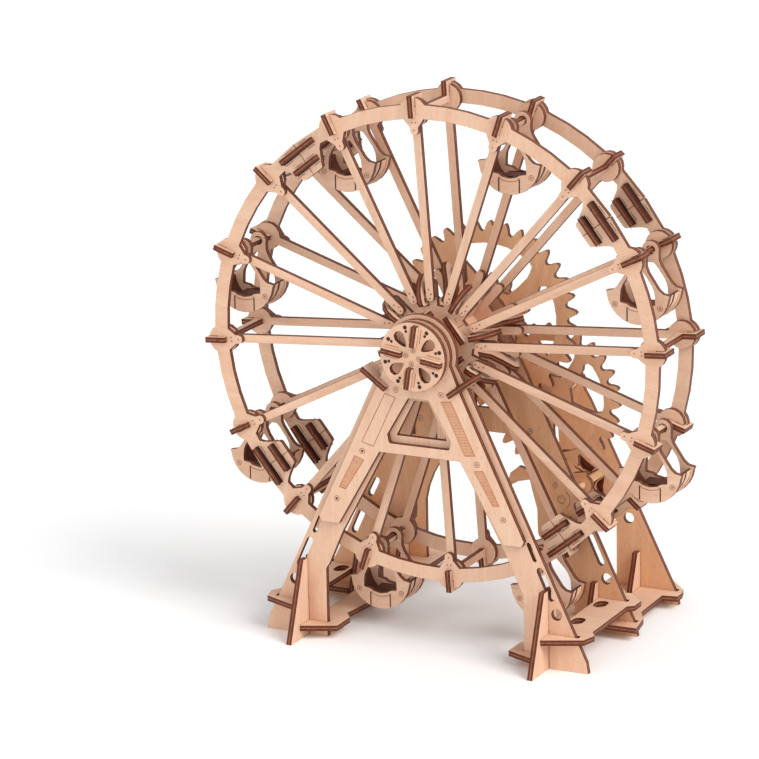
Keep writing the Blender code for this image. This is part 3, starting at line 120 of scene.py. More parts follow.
def add_node(
    tree: bpy.types.NodeTree,
    kind: str,
    settings: dict[str, object] | None = None,
    stops: tuple[tuple[float, str], ...] = (),
    **inputs: object,
) -> bpy.types.Node:
    """Adds a shader node with its settings, values and links.

    Args:
        tree: The node tree of a material or the world.
        kind: The node's type.
        settings: Attributes of the node itself.
        stops: For a colour ramp, places from 0 to 1 with their hex colours.
        inputs: Values or output sockets for its inputs, by name with underscores, or by place
            as in0.

    Returns:
        The new node.
    """
    node = tree.nodes.new(kind)
    for name, value in (settings or {}).items():
        setattr(node, name, value)
    for name, value in inputs.items():
        by_place = name[:2] == "in" and name[2:].isdigit()
        socket = node.inputs[int(name[2:]) if by_place else name.replace("_", " ")]
        if isinstance(value, bpy.types.NodeSocket):
            tree.links.new(value, socket)
        else:
            socket.default_value = value
    if stops:
        elements = node.color_ramp.elements
        while len(elements) < len(stops):
            elements.new(1)
        for element, (share, code) in zip(elements, stops):
            element.position = share
            element.color = linear(code)
    return node


def new_material(
    name: str, **inputs: object
) -> tuple[bpy.types.Material, bpy.types.NodeTree, bpy.types.Node]:
    """Makes a node material with a Principled shader wired to its output.

    Args:
        name: The material's name.
        inputs: Plain values for the shader, by input name with underscores.

    Returns:
        The material, its node tree and its shader.
    """
    material = bpy.data.materials.new(name)
    material.use_nodes = True
    shader = material.node_tree.nodes["Principled BSDF"]
    for socket, value in inputs.items():
        shader.inputs[socket.replace("_", " ")].default_value = value
    return material, material.node_tree, shader


@dataclass(frozen=True)
class Grain:
    """A noise stretched along the grain: its length and width in millimetres, then its settings."""

    length: float
    width: float
    detail: float
    roughness: float = 0.55
    distortion: float = 0.0


@dataclass(frozen=True)
class BirchVeneer:
    """The rotary-cut birch face of the sheet: pale and matt, with faint bands and fine fibres.

    Real fibres are under 0.1 mm wide, too fine to show, so they are drawn as coarse as they need.
    """

    name: str
    pale: str
    middle: str
    deep: str
    fleck: str
    bands: Grain = Grain(95.0, 6.5, detail=3.0, distortion=0.6)
    fibres: Grain = Grain(16.0, 0.75, detail=2.0, distortion=0.1)
    flecks: Grain = Grain(4.2, 0.38, detail=1.0)
    band_weight: float = 0.45
    fibre_weight: float = 0.2
    tone_stops: tuple[float, float, float] = (0.12, 0.33, 0.60)
    fleck_range: tuple[float, float] = (0.665, 0.74)
    fleck_strength: float = 0.55
    roughness: tuple[float, float] = (0.60, 0.74)
    rough_range: tuple[float, float] = (0.3, 0.7)
    ior: float = 1.5
    specular: float = 0.3
    bump: float = 0.18
    bump_depth: float = 0.00006

    def build(self) -> bpy.types.Material:
        """Builds the material on the piece's UV map, in millimetres along and across the grain.

        Returns:
            The finished material.
        """
        material, tree, shader = new_material(
            self.name, IOR=self.ior, Specular_IOR_Level=self.specular
        )
        sheet = add_node(tree, "ShaderNodeUVMap", {"uv_map": "sheet"}).outputs["UV"]
        noises = []
        for grain in (self.bands, self.fibres, self.flecks):
            scale = (1 / grain.length, 1 / grain.width, 1.0)
            place = add_node(tree, "ShaderNodeMapping", Vector=sheet, Scale=scale)
            noise = add_node(
                tree,
                "ShaderNodeTexNoise",
                {"noise_dimensions": "2D"},
                Vector=place.outputs["Vector"],
                Scale=1.0,
                Detail=grain.detail,
                Roughness=grain.roughness,
                Distortion=grain.distortion,
            )
            noises.append(noise.outputs["Fac"])
        bands, fibres, flecks = noises
        level = add_node(tree, "ShaderNodeAttribute", {"attribute_name": "tone"}).outputs["Fac"]
        for noise, weight in ((fibres, self.fibre_weight), (bands, self.band_weight)):
            multiply_add = {"operation": "MULTIPLY_ADD"}
            mixed = add_node(tree, "ShaderNodeMath", multiply_add, in0=noise, in1=weight, in2=level)
            level = mixed.outputs[0]
        stops = tuple(zip(self.tone_stops, (self.pale, self.middle, self.deep)))
        ramp = add_node(tree, "ShaderNodeValToRGB", stops=stops, in0=level)
        low, high = self.fleck_range
        strength = self.fleck_strength
        spots = add_node(
            tree, "ShaderNodeMapRange", Value=flecks, in1=low, in2=high, in3=0.0, in4=strength
        )
        colour = add_node(
            tree,
            "ShaderNodeMix",
            {"data_type": "RGBA"},
            in0=spots.outputs[0],
            in6=ramp.outputs[0],
            in7=linear(self.fleck),
        )
        low, high = self.rough_range
        smooth, rough = self.roughness
        matt = add_node(
            tree, "ShaderNodeMapRange", Value=fibres, in1=low, in2=high, in3=smooth, in4=rough
        )
        bump = add_node(
            tree, "ShaderNodeBump", Strength=self.bump, Distance=self.bump_depth, Height=fibres
        )
        tree.links.new(colour.outputs[2], shader.inputs["Base Color"])
        tree.links.new(matt.outputs[0], shader.inputs["Roughness"])
        tree.links.new(bump.outputs[0], shader.inputs["Normal"])
        return material


@dataclass(frozen=True)
class LaserCutEdge:
    """The cut edge of three-layer plywood, charred red-brown by the laser, with darker glue lines.

    The laser's real striations are 0.2 mm apart, too fine to show, so patches of soot stand in.
    """

    name: str
    outer_ply: str
    core_ply: str
    glue: str
    char: str
    soot: Grain = Grain(2.6, 1.1, detail=3.0, roughness=0.6)
    soot_range: tuple[float, float] = (0.42, 0.70)
    soot_strength: float = 0.6
    roughness: float = 0.58
    specular: float = 0.25
    bump: float = 0.3
    bump_depth: float = 0.00008

    def build(self) -> bpy.types.Material:
        """Builds the material on the UV map: V is the depth through the sheet in millimetres.

        Returns:
            The finished material.
        """
        material, tree, shader = new_material(
            self.name, Roughness=self.roughness, Specular_IOR_Level=self.specular
        )
        sheet = add_node(tree, "ShaderNodeUVMap", {"uv_map": "sheet"}).outputs["UV"]
        depth = add_node(tree, "ShaderNodeSeparateXYZ", Vector=sheet).outputs["Y"]
        share = add_node(tree, "ShaderNodeMath", {"operation": "DIVIDE"}, in0=depth, in1=PLY / MM)
        stops = (
            (0.0, self.char),
            (0.14, self.outer_ply),
            (0.27, self.outer_ply),
            (0.34, self.glue),
            (0.42, self.core_ply),
            (0.58, self.core_ply),
            (0.66, self.glue),
            (0.73, self.outer_ply),
            (0.86, self.outer_ply),
            (1.0, self.char),
        )
        layers = add_node(tree, "ShaderNodeValToRGB", stops=stops, in0=share.outputs[0])
        scale = (1 / self.soot.length, 1 / self.soot.width, 1.0)
        place = add_node(tree, "ShaderNodeMapping", Vector=sheet, Scale=scale)
        noise = add_node(
            tree,
            "ShaderNodeTexNoise",
            {"noise_dimensions": "2D"},
            Vector=place.outputs["Vector"],
            Scale=1.0,
            Detail=self.soot.detail,
            Roughness=self.soot.roughness,
        ).outputs["Fac"]
        low, high = self.soot_range
        strength = self.soot_strength
        soot = add_node(
            tree, "ShaderNodeMapRange", Value=noise, in1=low, in2=high, in3=0.0, in4=strength
        )
        colour = add_node(
            tree,
            "ShaderNodeMix",
            {"data_type": "RGBA"},
            in0=soot.outputs[0],
            in6=layers.outputs[0],
            in7=linear(self.char),
        )
        bump = add_node(
            tree, "ShaderNodeBump", Strength=self.bump, Distance=self.bump_depth, Height=noise
        )
        tree.links.new(colour.outputs[2], shader.inputs["Base Color"])
        tree.links.new(bump.outputs[0], shader.inputs["Normal"])
        return material


@dataclass(frozen=True)
class TwoToneWood:
    """Wood in two tones on Object coordinates: a turned dowel's fibres, or a burnt line's patches.

    A dowel's real fibres are too fine to show, so they are drawn as coarse as they need.
    """

    name: str
    tones: tuple[tuple[float, str], ...]
    cell: tuple[float, float, float] = (2.4, 2.4, 2.4)
    roughness: float = 0.8
    detail: float = 2.0
    noise_roughness: float = 0.6

    def build(self) -> bpy.types.Material:
        """Builds the material, whose noise has cells of these millimetres along X, Y and Z.

        Returns:
            The finished material.
        """
        material, tree, shader = new_material(self.name, Roughness=self.roughness)
        here = add_node(tree, "ShaderNodeTexCoord").outputs["Object"]
        scale = tuple(1 / (size * MM) for size in self.cell)
        place = add_node(tree, "ShaderNodeMapping", Vector=here, Scale=scale)
        noise = add_node(
            tree,
            "ShaderNodeTexNoise",
            Vector=place.outputs["Vector"],
            Scale=1.0,
            Detail=self.detail,
            Roughness=self.noise_roughness,
        )
        ramp = add_node(tree, "ShaderNodeValToRGB", stops=self.tones, in0=noise.outputs["Fac"])
        tree.links.new(ramp.outputs[0], shader.inputs["Base Color"])
        return material


# Rotary-cut birch face: creamy peach under a white lamp, with bands that hardly show
BIRCH_FACE = BirchVeneer("birch_plywood_face", "#e6c4a9", "#e0b79b", "#d6a787", fleck="#c0906c")
# The same veneer, darker and more orange on the inner frames and gears: painted shade behind the
# wheel and painted warm bounce light
BIRCH_FACE_PAINTED_SHADE = BirchVeneer("tan_birch_plywood_face", "#ebbe96", "#e2b088", "#d5a076", fleck="#bd875f")
# Laser-cut edge: red-brown char with two glue lines
CUT_EDGE = LaserCutEdge("laser_cut_plywood_edge", "#6a3421", "#a15d3c", "#3f1a10", char="#35150b")
# Round birch stock for the axle, the crank's shaft and its knob: straight grain, a soft sheen
DOWEL = TwoToneWood(
    "birch_dowel",
    ((0.3, "#e9bd93"), (0.75, "#c98f61")),
    cell=(0.8, 22.0, 0.8),
    roughness=0.5,
    noise_roughness=0.5,
)
# Line engraving: matt brown, uneven along its length
ENGRAVED = TwoToneWood("laser_engraved_line", ((0.35, "#7d452b"), (0.7, "#a96c48")))
# Light engraving of the hatched fields, where the beam only toasts the veneer
HATCHED = TwoToneWood("toasted_hatch_engraving", ((0.35, "#bd7244"), (0.7, "#d28c5a")))
# The nearly black mouths of pin holes, and of cuts right through
PIN_HOLE = TwoToneWood("charred_pin_hole", ((0.35, "#2c130b"), (0.7, "#4a2516")))


def deselect() -> None:
    """Clears the selection, so that the next operator acts on the active piece alone."""
    for obj in list(bpy.context.selected_objects):
        obj.select_set(False)


def take(obj: bpy.types.Object) -> None:
    """Makes this the one selected and active object."""
    deselect()
    obj.select_set(True)
    bpy.context.view_layer.objects.active = obj


def mount(piece: bpy.types.Object, body: str) -> None:
    """Lets a finished piece ride on its body and says so in the log.

    Args:
        piece: The piece.
        body: The body's name.
    """
    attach(piece, body)
    log.info("%s on %s: %d polygons", piece.name, body, len(piece.data.polygons))


def outward(angle: float) -> Vector:
    """The unit direction away from the axle at this angle, counter-clockwise from the right."""
    return Vector((cos(radians(angle)), 0, sin(radians(angle))))


def sideways(angle: float) -> Vector:
    """The unit direction along the rim at this angle, counter-clockwise."""
    return Vector((-sin(radians(angle)), 0, cos(radians(angle))))


def node_angle(number: float) -> float:
    """The angle of one of the sixteen spokes."""
    return FIRST_ANGLE + PITCH * number


def clear_of(y: float, sheet: float, margin: float = CLEAR) -> bool:
    """Whether a place along the axle is clear of the sheet that starts at this other one."""
    return not sheet - margin < y < sheet + PLY + margin


@dataclass(frozen=True)
class Layer:
    """One sheet of a piece: the way it faces, where it starts, and which points it holds."""

    normal: Vector
    start: float
    holds: Callable[[Vector], bool] = lambda point: True
    all_face: bool = False
    # A sheet that is all char and shade is painted in the dark glue line of the cut edge, as painted
    # shade
    all_char_and_shade: bool = False

    @classmethod
    def slab(cls, angle: float, radius: float, half: float, sheet: float) -> "Layer":
        """A slab square to the radius, where it stands out of the sheet that it crosses.

        Args:
            angle: Its direction from the axle, in degrees.
            radius: Its distance from the axle.
            half: Half its length.
            sheet: Where the sheet that it crosses starts.

        Returns:
            The layer.
        """
        out, along = outward(angle), sideways(angle)

        def holds(point: Vector) -> bool:
            """Whether the point is on the slab."""
            rel = point - CENTRE
            near = abs(rel.dot(out) - radius) < PLY / 2 + NEAR_FACE
            return near and abs(rel.dot(along)) < half + NEAR_FACE and clear_of(point.y, sheet)

        return cls(out, CENTRE.dot(out) + radius - PLY / 2, holds)

    @classmethod
    def fin(cls, angle: float, root: float, sheet: float | None = None) -> "Layer":
        """A slab along the radius, where it stands out of the sheet that it crosses, if any.

        Args:
            angle: Its direction from the axle, in degrees.
            root: Its inner end's distance from the axle.
            sheet: Where the sheet that it crosses starts.

        Returns:
            The layer.
        """
        out, normal = outward(angle), sideways(angle)

        def holds(point: Vector) -> bool:
            """Whether the point is on the slab."""
            rel = point - CENTRE
            clear = sheet is None or clear_of(point.y, sheet, NEAR_FACE)
            return clear and abs(rel.dot(normal)) < PLY / 2 + NEAR_FACE and rel.dot(out) > root

        return cls(normal, CENTRE.dot(normal) - PLY / 2, holds)


@dataclass
class Timber:
    """The workshop: the finishes, and the way a packed sheet becomes a finished piece.

    Each piece shifts its grain by its own steps, in millimetres, and takes its own tone. A sheet
    that is all char and shade keeps to the dark glue line of the cut edge, as painted shade: on
    the floor of a recess, and inside a cabin, where the char of the hull's bending cuts adds to it.
    """

    rim: float = 0.00011
    rim_angle: float = 42.0
    shade_angle: float = 32.0
    merge: float = 0.000002
    flat_angle: float = 0.6
    face_share: float = 0.93
    steep: float = 0.5
    shift_steps: tuple[tuple[float, int], ...] = ((37.0, 211), (53.0, 173))
    tone_step: float = 0.618
    tone_spread: float = 0.115
    tone_low: float = -0.06
    shade_and_char_depth: float = 1.05
    shade_and_char_squeeze: float = 0.004
    finishes: dict[str, bpy.types.Material] = field(default_factory=dict)
    made: int = 0

    def __post_init__(self) -> None:
        """Builds each material once."""
        for finish in (BIRCH_FACE, BIRCH_FACE_PAINTED_SHADE, CUT_EDGE, DOWEL, ENGRAVED, PIN_HOLE, HATCHED):
            self.finishes[finish.name] = finish.build()

    def copy_of(self, node: str) -> bpy.types.Object:
        """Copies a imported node, merges its triangles and clears the flat ones away.

        Args:
            node: The node's name.

        Returns:
            The new piece, in place, riding on nothing yet.
        """
        piece = bpy.data.objects.new(f"{node}_ply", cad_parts[node].data.copy())
        piece.data.name = piece.name
        bpy.context.scene.collection.objects.link(piece)
        take(piece)
        bpy.ops.object.mode_set(mode="EDIT")
        bpy.ops.mesh.select_all(action="SELECT")
        bpy.ops.mesh.remove_doubles(threshold=self.merge)
        bpy.ops.mesh.dissolve_limited(angle_limit=radians(self.flat_angle))
        bpy.ops.object.mode_set(mode="OBJECT")
        return piece

    def ease_rims(self, piece: bpy.types.Object) -> None:
        """Gives each sharp rim of a piece a narrow flat, which the burnt edge then covers.

        Args:
            piece: The piece.
        """
        rim = piece.modifiers.new("burnt_rim", "BEVEL")
        rim.width = self.rim
        rim.segments = 1
        rim.limit_method = "ANGLE"
        rim.angle_limit = radians(self.rim_angle)
        rim.use_clamp_overlap = True
        take(piece)
        bpy.ops.object.modifier_apply(modifier=rim.name)

    def map_sheet(self, piece: bpy.types.Object, layers: list[Layer], grain: float) -> None:
        """Sets each polygon's finish and UV map from the sheet that it belongs to.

        Args:
            piece: The piece, with its finishes in their slots.
            layers: Its sheets. A polygon belongs to the first that holds its centre.
            grain: The angle of the grain in the sheet, in degrees.
        """
        mesh = piece.data
        for old in list(mesh.uv_layers):
            mesh.uv_layers.remove(old)
        uv = mesh.uv_layers.new(name="sheet")
        self.made += 1
        shift = Vector([step * self.made % span for step, span in self.shift_steps])
        level = self.tone_spread * (self.made * self.tone_step % 1.0) + self.tone_low
        tone = mesh.attributes.new("tone", "FLOAT", "POINT")
        tone.data.foreach_set("value", [level] * len(mesh.vertices))
        for polygon in mesh.polygons:
            layer = next(layer for layer in layers if layer.holds(polygon.center))
            normal = layer.normal
            along = outward(grain)
            if abs(normal.dot(along)) > self.steep:
                along = ALONG
            along = (along - normal * normal.dot(along)).normalized()
            across = normal.cross(along)
            flat = abs(polygon.normal.dot(normal)) > self.face_share
            is_face = layer.all_face or (flat and not layer.all_char_and_shade)
            polygon.material_index = Slot.FACE if is_face else Slot.EDGE
            for loop in polygon.loop_indices:
                point = mesh.vertices[mesh.loops[loop].vertex_index].co
                u, v = point.dot(along) / MM, point.dot(across) / MM
                if is_face:
                    place = Vector((u, v)) + shift
                # Painted shade: the whole sheet keeps near the dark glue line of the cut edge
                elif layer.all_char_and_shade:
                    place = Vector((u, self.shade_and_char_depth + v * self.shade_and_char_squeeze))
                else:
                    place = Vector((u + v, (point.dot(normal) - layer.start) / MM))
                uv.data[loop].uv = place

    def dress(
        self,
        node: str,
        body: str,
        layers: list[Layer],
        face: BirchVeneer = BIRCH_FACE,
        grain: float = 90.0,
    ) -> bpy.types.Object:
        """Makes the finished piece for a packed sheet.

        Args:
            node: The node that it stands for.
            body: The body that it rides on.
            layers: The sheets in it.
            face: The veneer of its faces.
            grain: The angle of the grain in degrees.

        Returns:
            The finished piece.
        """
        piece = self.copy_of(node)
        self.ease_rims(piece)
        piece.data.materials.clear()
        for finish in (face, CUT_EDGE, DOWEL):
            piece.data.materials.append(self.finishes[finish.name])
        self.map_sheet(piece, layers, grain)
        take(piece)
        bpy.ops.object.shade_smooth_by_angle(angle=radians(self.shade_angle))
        mount(piece, body)
        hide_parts(node)
        return piece

    def rods(self, piece: bpy.types.Object, sheet: float | None = None) -> None:
        """Gives a piece the dowel's finish, but for the sheet in it.

        Args:
            piece: The finished piece.
            sheet: Where its sheet starts along the axle, or None if it has none.
        """
        for polygon in piece.data.polygons:
            if sheet is None or clear_of(polygon.center.y, sheet):
                polygon.material_index = Slot.ROD


@dataclass
class Engraver:
    """Draws engraved lines and pin heads on a flat face, as thin raised marks in one mesh."""

    timber: Timber
    name: str
    origin: Vector
    right: Vector
    up: Vector
    line: float = 0.00034
    height: float = 0.00008
    head_inset: float = 0.9
    head_lift: float = 0.35
    star_arms: int = 3
    star_turn: float = 20.0
    star_reach: float = 0.62
    star_share: float = 0.7
    out: Vector = field(init=False)
    piece: bpy.types.Object = field(init=False)

    def __post_init__(self) -> None:
        """Starts an empty mesh in edit mode."""
        self.out = self.right.cross(self.up)
        mesh = bpy.data.meshes.new(self.name)
        self.piece = bpy.data.objects.new(self.name, mesh)
        bpy.context.scene.collection.objects.link(self.piece)
        for finish in (ENGRAVED, PIN_HOLE, BIRCH_FACE, HATCHED):
            mesh.materials.append(self.timber.finishes[finish.name])
        take(self.piece)
        bpy.ops.object.mode_set(mode="EDIT")

    @classmethod
    def on_frame(cls, timber: Timber, name: str, face: float) -> "Engraver":
        """Starts marks on the front of a frame, with X to the right and Y up from the axle.

        Args:
            timber: The workshop.
            name: The piece's name.
            face: The plane of the frame's front.

        Returns:
            The engraver.
        """
        return cls(timber, name, Vector((0, face - LIFT, AXIS_HEIGHT)), ACROSS, UP)

    def at(self, place: Place, lift: float = 0.0) -> Vector:
        """The point of the face at these coordinates in metres, lifted off it."""
        return self.origin + self.right * place[0] + self.up * place[1] + self.out * lift

    def turn(self, angle: float) -> Matrix:
        """The rotation whose X runs along a line at this angle on the face, and whose Z is out."""
        along = self.right * cos(radians(angle)) + self.up * sin(radians(angle))
        return Matrix((along, self.out.cross(along), self.out)).transposed()

    def paint(self, slot: Mark) -> None:
        """Gives the primitive just added, which is all that is selected, one of the finishes."""
        self.piece.active_material_index = slot
        bpy.ops.object.material_slot_assign()
        bpy.ops.mesh.select_all(action="DESELECT")

    def bar(
        self, place: Vector, turn: Matrix, size: tuple[float, float, float], slot: Mark
    ) -> None:
        """Adds one thin bar to the marks.

        Args:
            place: Its middle.
            turn: Its rotation.
            size: Its length, width and height.
            slot: Its finish.
        """
        bpy.ops.mesh.primitive_cube_add(
            size=1, location=place, rotation=turn.to_euler(), scale=size
        )
        self.paint(slot)

    def stroke(
        self, start: Place, end: Place, width: float | None = None, slot: Mark = Mark.LINE
    ) -> None:
        """Burns a straight line.

        Args:
            start: Its first end on the face, in metres.
            end: Its other end.
            width: Its width, or None for the usual one.
            slot: Its finish.
        """
        run = Vector(end) - Vector(start)
        middle = (Vector(start) + Vector(end)) / 2
        angle = degrees(Vector((1, 0)).angle_signed(run)) * -1
        size = (run.length, width or self.line, self.height)
        self.bar(self.at(middle), self.turn(angle), size, slot)

    def path(
        self,
        points: Sequence[Place],
        closed: bool = False,
        width: float | None = None,
        slot: Mark = Mark.LINE,
    ) -> None:
        """Burns a line through several points.

        Args:
            points: The points on the face, in metres.
            closed: Whether it runs back to the first.
            width: Its width, or None for the usual one.
            slot: Its finish.
        """
        ends = (*points[1:], points[0]) if closed else points[1:]
        for start, end in zip(points, ends):
            self.stroke(start, end, width, slot)

    def disc(
        self,
        centre: Place,
        radius: float,
        slot: Mark = Mark.CHAR,
        lift: float = 0.0,
        sides: int = 12,
    ) -> None:
        """Sets a low round mark: a charred hole, or the head of a pin.

        Args:
            centre: Its middle on the face, in metres.
            radius: Its radius.
            slot: Its finish.
            lift: How far it stands off the face.
            sides: How many sides it has.
        """
        bpy.ops.mesh.primitive_cylinder_add(
            vertices=sides,
            radius=radius,
            depth=self.height,
            location=self.at(centre, lift),
            rotation=self.turn(0).to_euler(),
        )
        self.paint(slot)

    def pin(self, centre: Place, radius: float) -> None:
        """Draws a pin driven into the sheet: a burnt outline, a pale head and its star of cuts.

        Args:
            centre: Its middle on the face, in metres.
            radius: Its radius.
        """
        self.disc(centre, radius, Mark.LINE)
        head = radius - self.line * self.head_inset
        self.disc(centre, head, Mark.HEAD, self.height * self.head_lift)
        size = (2 * radius * self.star_reach, self.line * self.star_share, self.height)
        for number in range(self.star_arms):
            turn = self.turn(180 / self.star_arms * number + self.star_turn)
            self.bar(self.at(centre, self.height * self.star_share), turn, size, Mark.LINE)

    def finish(self, body: str) -> bpy.types.Object:
        """Leaves edit mode and lets the marks ride on their body.

        Args:
            body: The body's name.

        Returns:
            The piece with all its marks.
        """
        bpy.ops.object.mode_set(mode="OBJECT")
        mount(self.piece, body)
        return self.piece


def repeat(piece: bpy.types.Object, name: str, move: Matrix, body: str) -> None:
    """Copies a finished piece with its own mesh to another place.

    Args:
        piece: The piece to copy.
        name: The copy's name.
        move: How its mesh moves.
        body: The body that it rides on.
    """
    twin = bpy.data.objects.new(name, piece.data.copy())
    twin.data.transform(move)
    bpy.context.scene.collection.objects.link(twin)
    mount(twin, body)


def repeat_round(piece: bpy.types.Object, count: int) -> None:
    """Repeats a finished piece evenly round the wheel, counter-clockwise from the front.

    Args:
        piece: The first piece, whose name ends in 1.
        count: How many there are with the first.
    """
    centre = Matrix.Translation(CENTRE)
    for number in range(1, count):
        turn = centre @ Matrix.Rotation(-radians(360 / count * number), 4, "Y") @ centre.inverted()
        repeat(piece, f"{piece.name[:-1]}{number + 1}", turn, "wheel")


def side_marks(
    timber: Timber, name: str, angle: float, cuts: tuple[tuple[float, ...], ...], slot: Mark
) -> bpy.types.Object:
    """Burns lines along the radius into both sides of a sheet that stands along it.

    Args:
        timber: The workshop.
        name: The piece's name.
        angle: The direction of the sheet from the axle, in degrees.
        cuts: Each line's two radii, its place to either side of the middle, and its width.
        slot: Their finish.

    Returns:
        The lines.
    """
    marks = Engraver(timber, name, CENTRE, outward(angle), ALONG)
    for side in (-1, 1):
        marks.origin = CENTRE + sideways(angle) * (PLY / 2 + LIFT) * side
        for start, end, place, width in cuts:
            for depth in (-place, place):
                marks.stroke((start, depth), (end, depth), width, slot)
    return marks.finish("wheel")


@dataclass(frozen=True)
class RoundMarks:
    """Marks that repeat round the wheel: seams along the radius, dashes beside them, and pins.

    A seam holds its two radii. A dash holds its two distances to either side, and its radius. A
    pin holds its distance to the side and its radius.
    """

    count: int
    angle: float
    seams: Points = ()
    seam_width: float | None = None
    dashes: tuple[tuple[float, float, float], ...] = ()
    dash_width: float | None = None
    pins: Points = ()
    pin_radius: float = 0.0005
    pin_sides: int = 8

    def engrave(self, timber: Timber, name: str, y: float, sign: int) -> None:
        """Draws the first set and repeats it.

        Args:
            timber: The workshop.
            name: The first piece's name, which ends in 1.
            y: The plane of the face.
            sign: 1 where the set runs counter-clockwise from the front, -1 for clockwise.
        """
        origin = Vector((0, y, AXIS_HEIGHT))
        marks = Engraver(timber, name, origin, sideways(self.angle) * sign, outward(self.angle))
        for start, end, radius in self.dashes:
            for side in (-1, 1):
                marks.stroke((side * start, radius), (side * end, radius), self.dash_width)
        for start, end in self.seams:
            marks.stroke((0, start), (0, end), self.seam_width)
        for place in self.pins:
            marks.disc(place, self.pin_radius, Mark.LINE, sides=self.pin_sides)
        repeat_round(marks.finish("wheel"), self.count)


@dataclass
class WheelRings:
    """The front and rear rings: four quarters each, with spokes, joint slabs, pins and seams."""

    timber: Timber
    face: float = 0.0235
    spoke_overlap: float = 0.0003
    slabs: Points = ((0.1238, 0.0116), (0.1148, 0.0082))
    quarter_grain: float = 34.0
    joint: RoundMarks = RoundMarks(
        JOINT_COUNT,
        node_angle(1.5),
        seams=((0.109, 0.1133), (0.1163, 0.1223)),
        seam_width=0.0004,
        dashes=(
            (0.0058, 0.0110, 0.1212),
            (0.00255, 0.00775, 0.1264),
            (0.0041, 0.0093, 0.1122),
            (0.0018, 0.0070, 0.1174),
        ),
    )
    foot: RoundMarks = RoundMarks(
        NODE_COUNT,
        node_angle(0),
        pins=((0.0010, 0.1186), (-0.0010, 0.1186), (0.0, 0.1146)),
        pin_radius=0.00042,
        pin_sides=10,
    )

    def layers(self, side: int, quarter: int) -> list[Layer]:
        """The sheets of a quarter: the joint slabs, the spokes and the band.

        Args:
            side: -1 for the front ring, 1 for the rear ring.
            quarter: The quarter's number from 0.

        Returns:
            The slabs first, then the spokes and the band.
        """
        joint = node_angle(4 * quarter + 2) + 90 - PITCH / 2
        band = -self.face if side < 0 else self.face - PLY
        inner = band + PLY if side < 0 else band
        spokes = inner - self.spoke_overlap if side < 0 else inner - PLY + self.spoke_overlap

        def in_spokes(point: Vector) -> bool:
            """Whether the point is on the spokes' sheet."""
            return (inner - point.y) * side > ON_FACE

        slabs = [Layer.slab(joint, radius, half, band) for radius, half in self.slabs]
        return [*slabs, Layer(ALONG, spokes, in_spokes), Layer(ALONG, band)]

    def build(self) -> None:
        """Makes both rings and their marks."""
        for where, side in (("front", -1), ("rear", 1)):
            for quarter in range(JOINT_COUNT):
                grain = node_angle(4 * quarter + 2) + self.quarter_grain
                node = f"ring_{where}_{quarter + 1}"
                self.timber.dress(node, "wheel", self.layers(side, quarter), grain=grain)
        faces = (
            ("front", -self.face - LIFT, 1),
            ("front_back", -self.face + PLY + LIFT, -1),
            ("rear_front", self.face - PLY - LIFT, 1),
            ("rear", self.face + LIFT, -1),
        )
        for where, y, sign in faces:
            self.joint.engrave(self.timber, f"joint_marks_{where}_1", y, sign)
            if where in ("front", "rear"):
                self.foot.engrave(self.timber, f"spoke_pins_{where}_1", y, sign)


@dataclass
class CrossBars:
    """The sixteen boards that tie the rings, with a scribed line on each side of each end.

    A line holds its two radii, its place along the axle and its width.
    """

    timber: Timber
    lines: tuple[tuple[float, ...], ...] = ((0.1225, 0.1316, 0.0252, FINE),)

    def build(self) -> None:
        """Makes the bars and their lines."""
        for number in range(NODE_COUNT):
            node = f"{'cabin_axle' if number % 2 else 'tie_bar'}_{number // 2 + 1}"
            normal = sideways(node_angle(number))
            sheet = Layer(normal, CENTRE.dot(normal) - PLY / 2)
            self.timber.dress(node, "wheel", [sheet], grain=0)
        first = side_marks(self.timber, "bar_lines_1", node_angle(0), self.lines, Mark.LINE)
        repeat_round(first, NODE_COUNT)


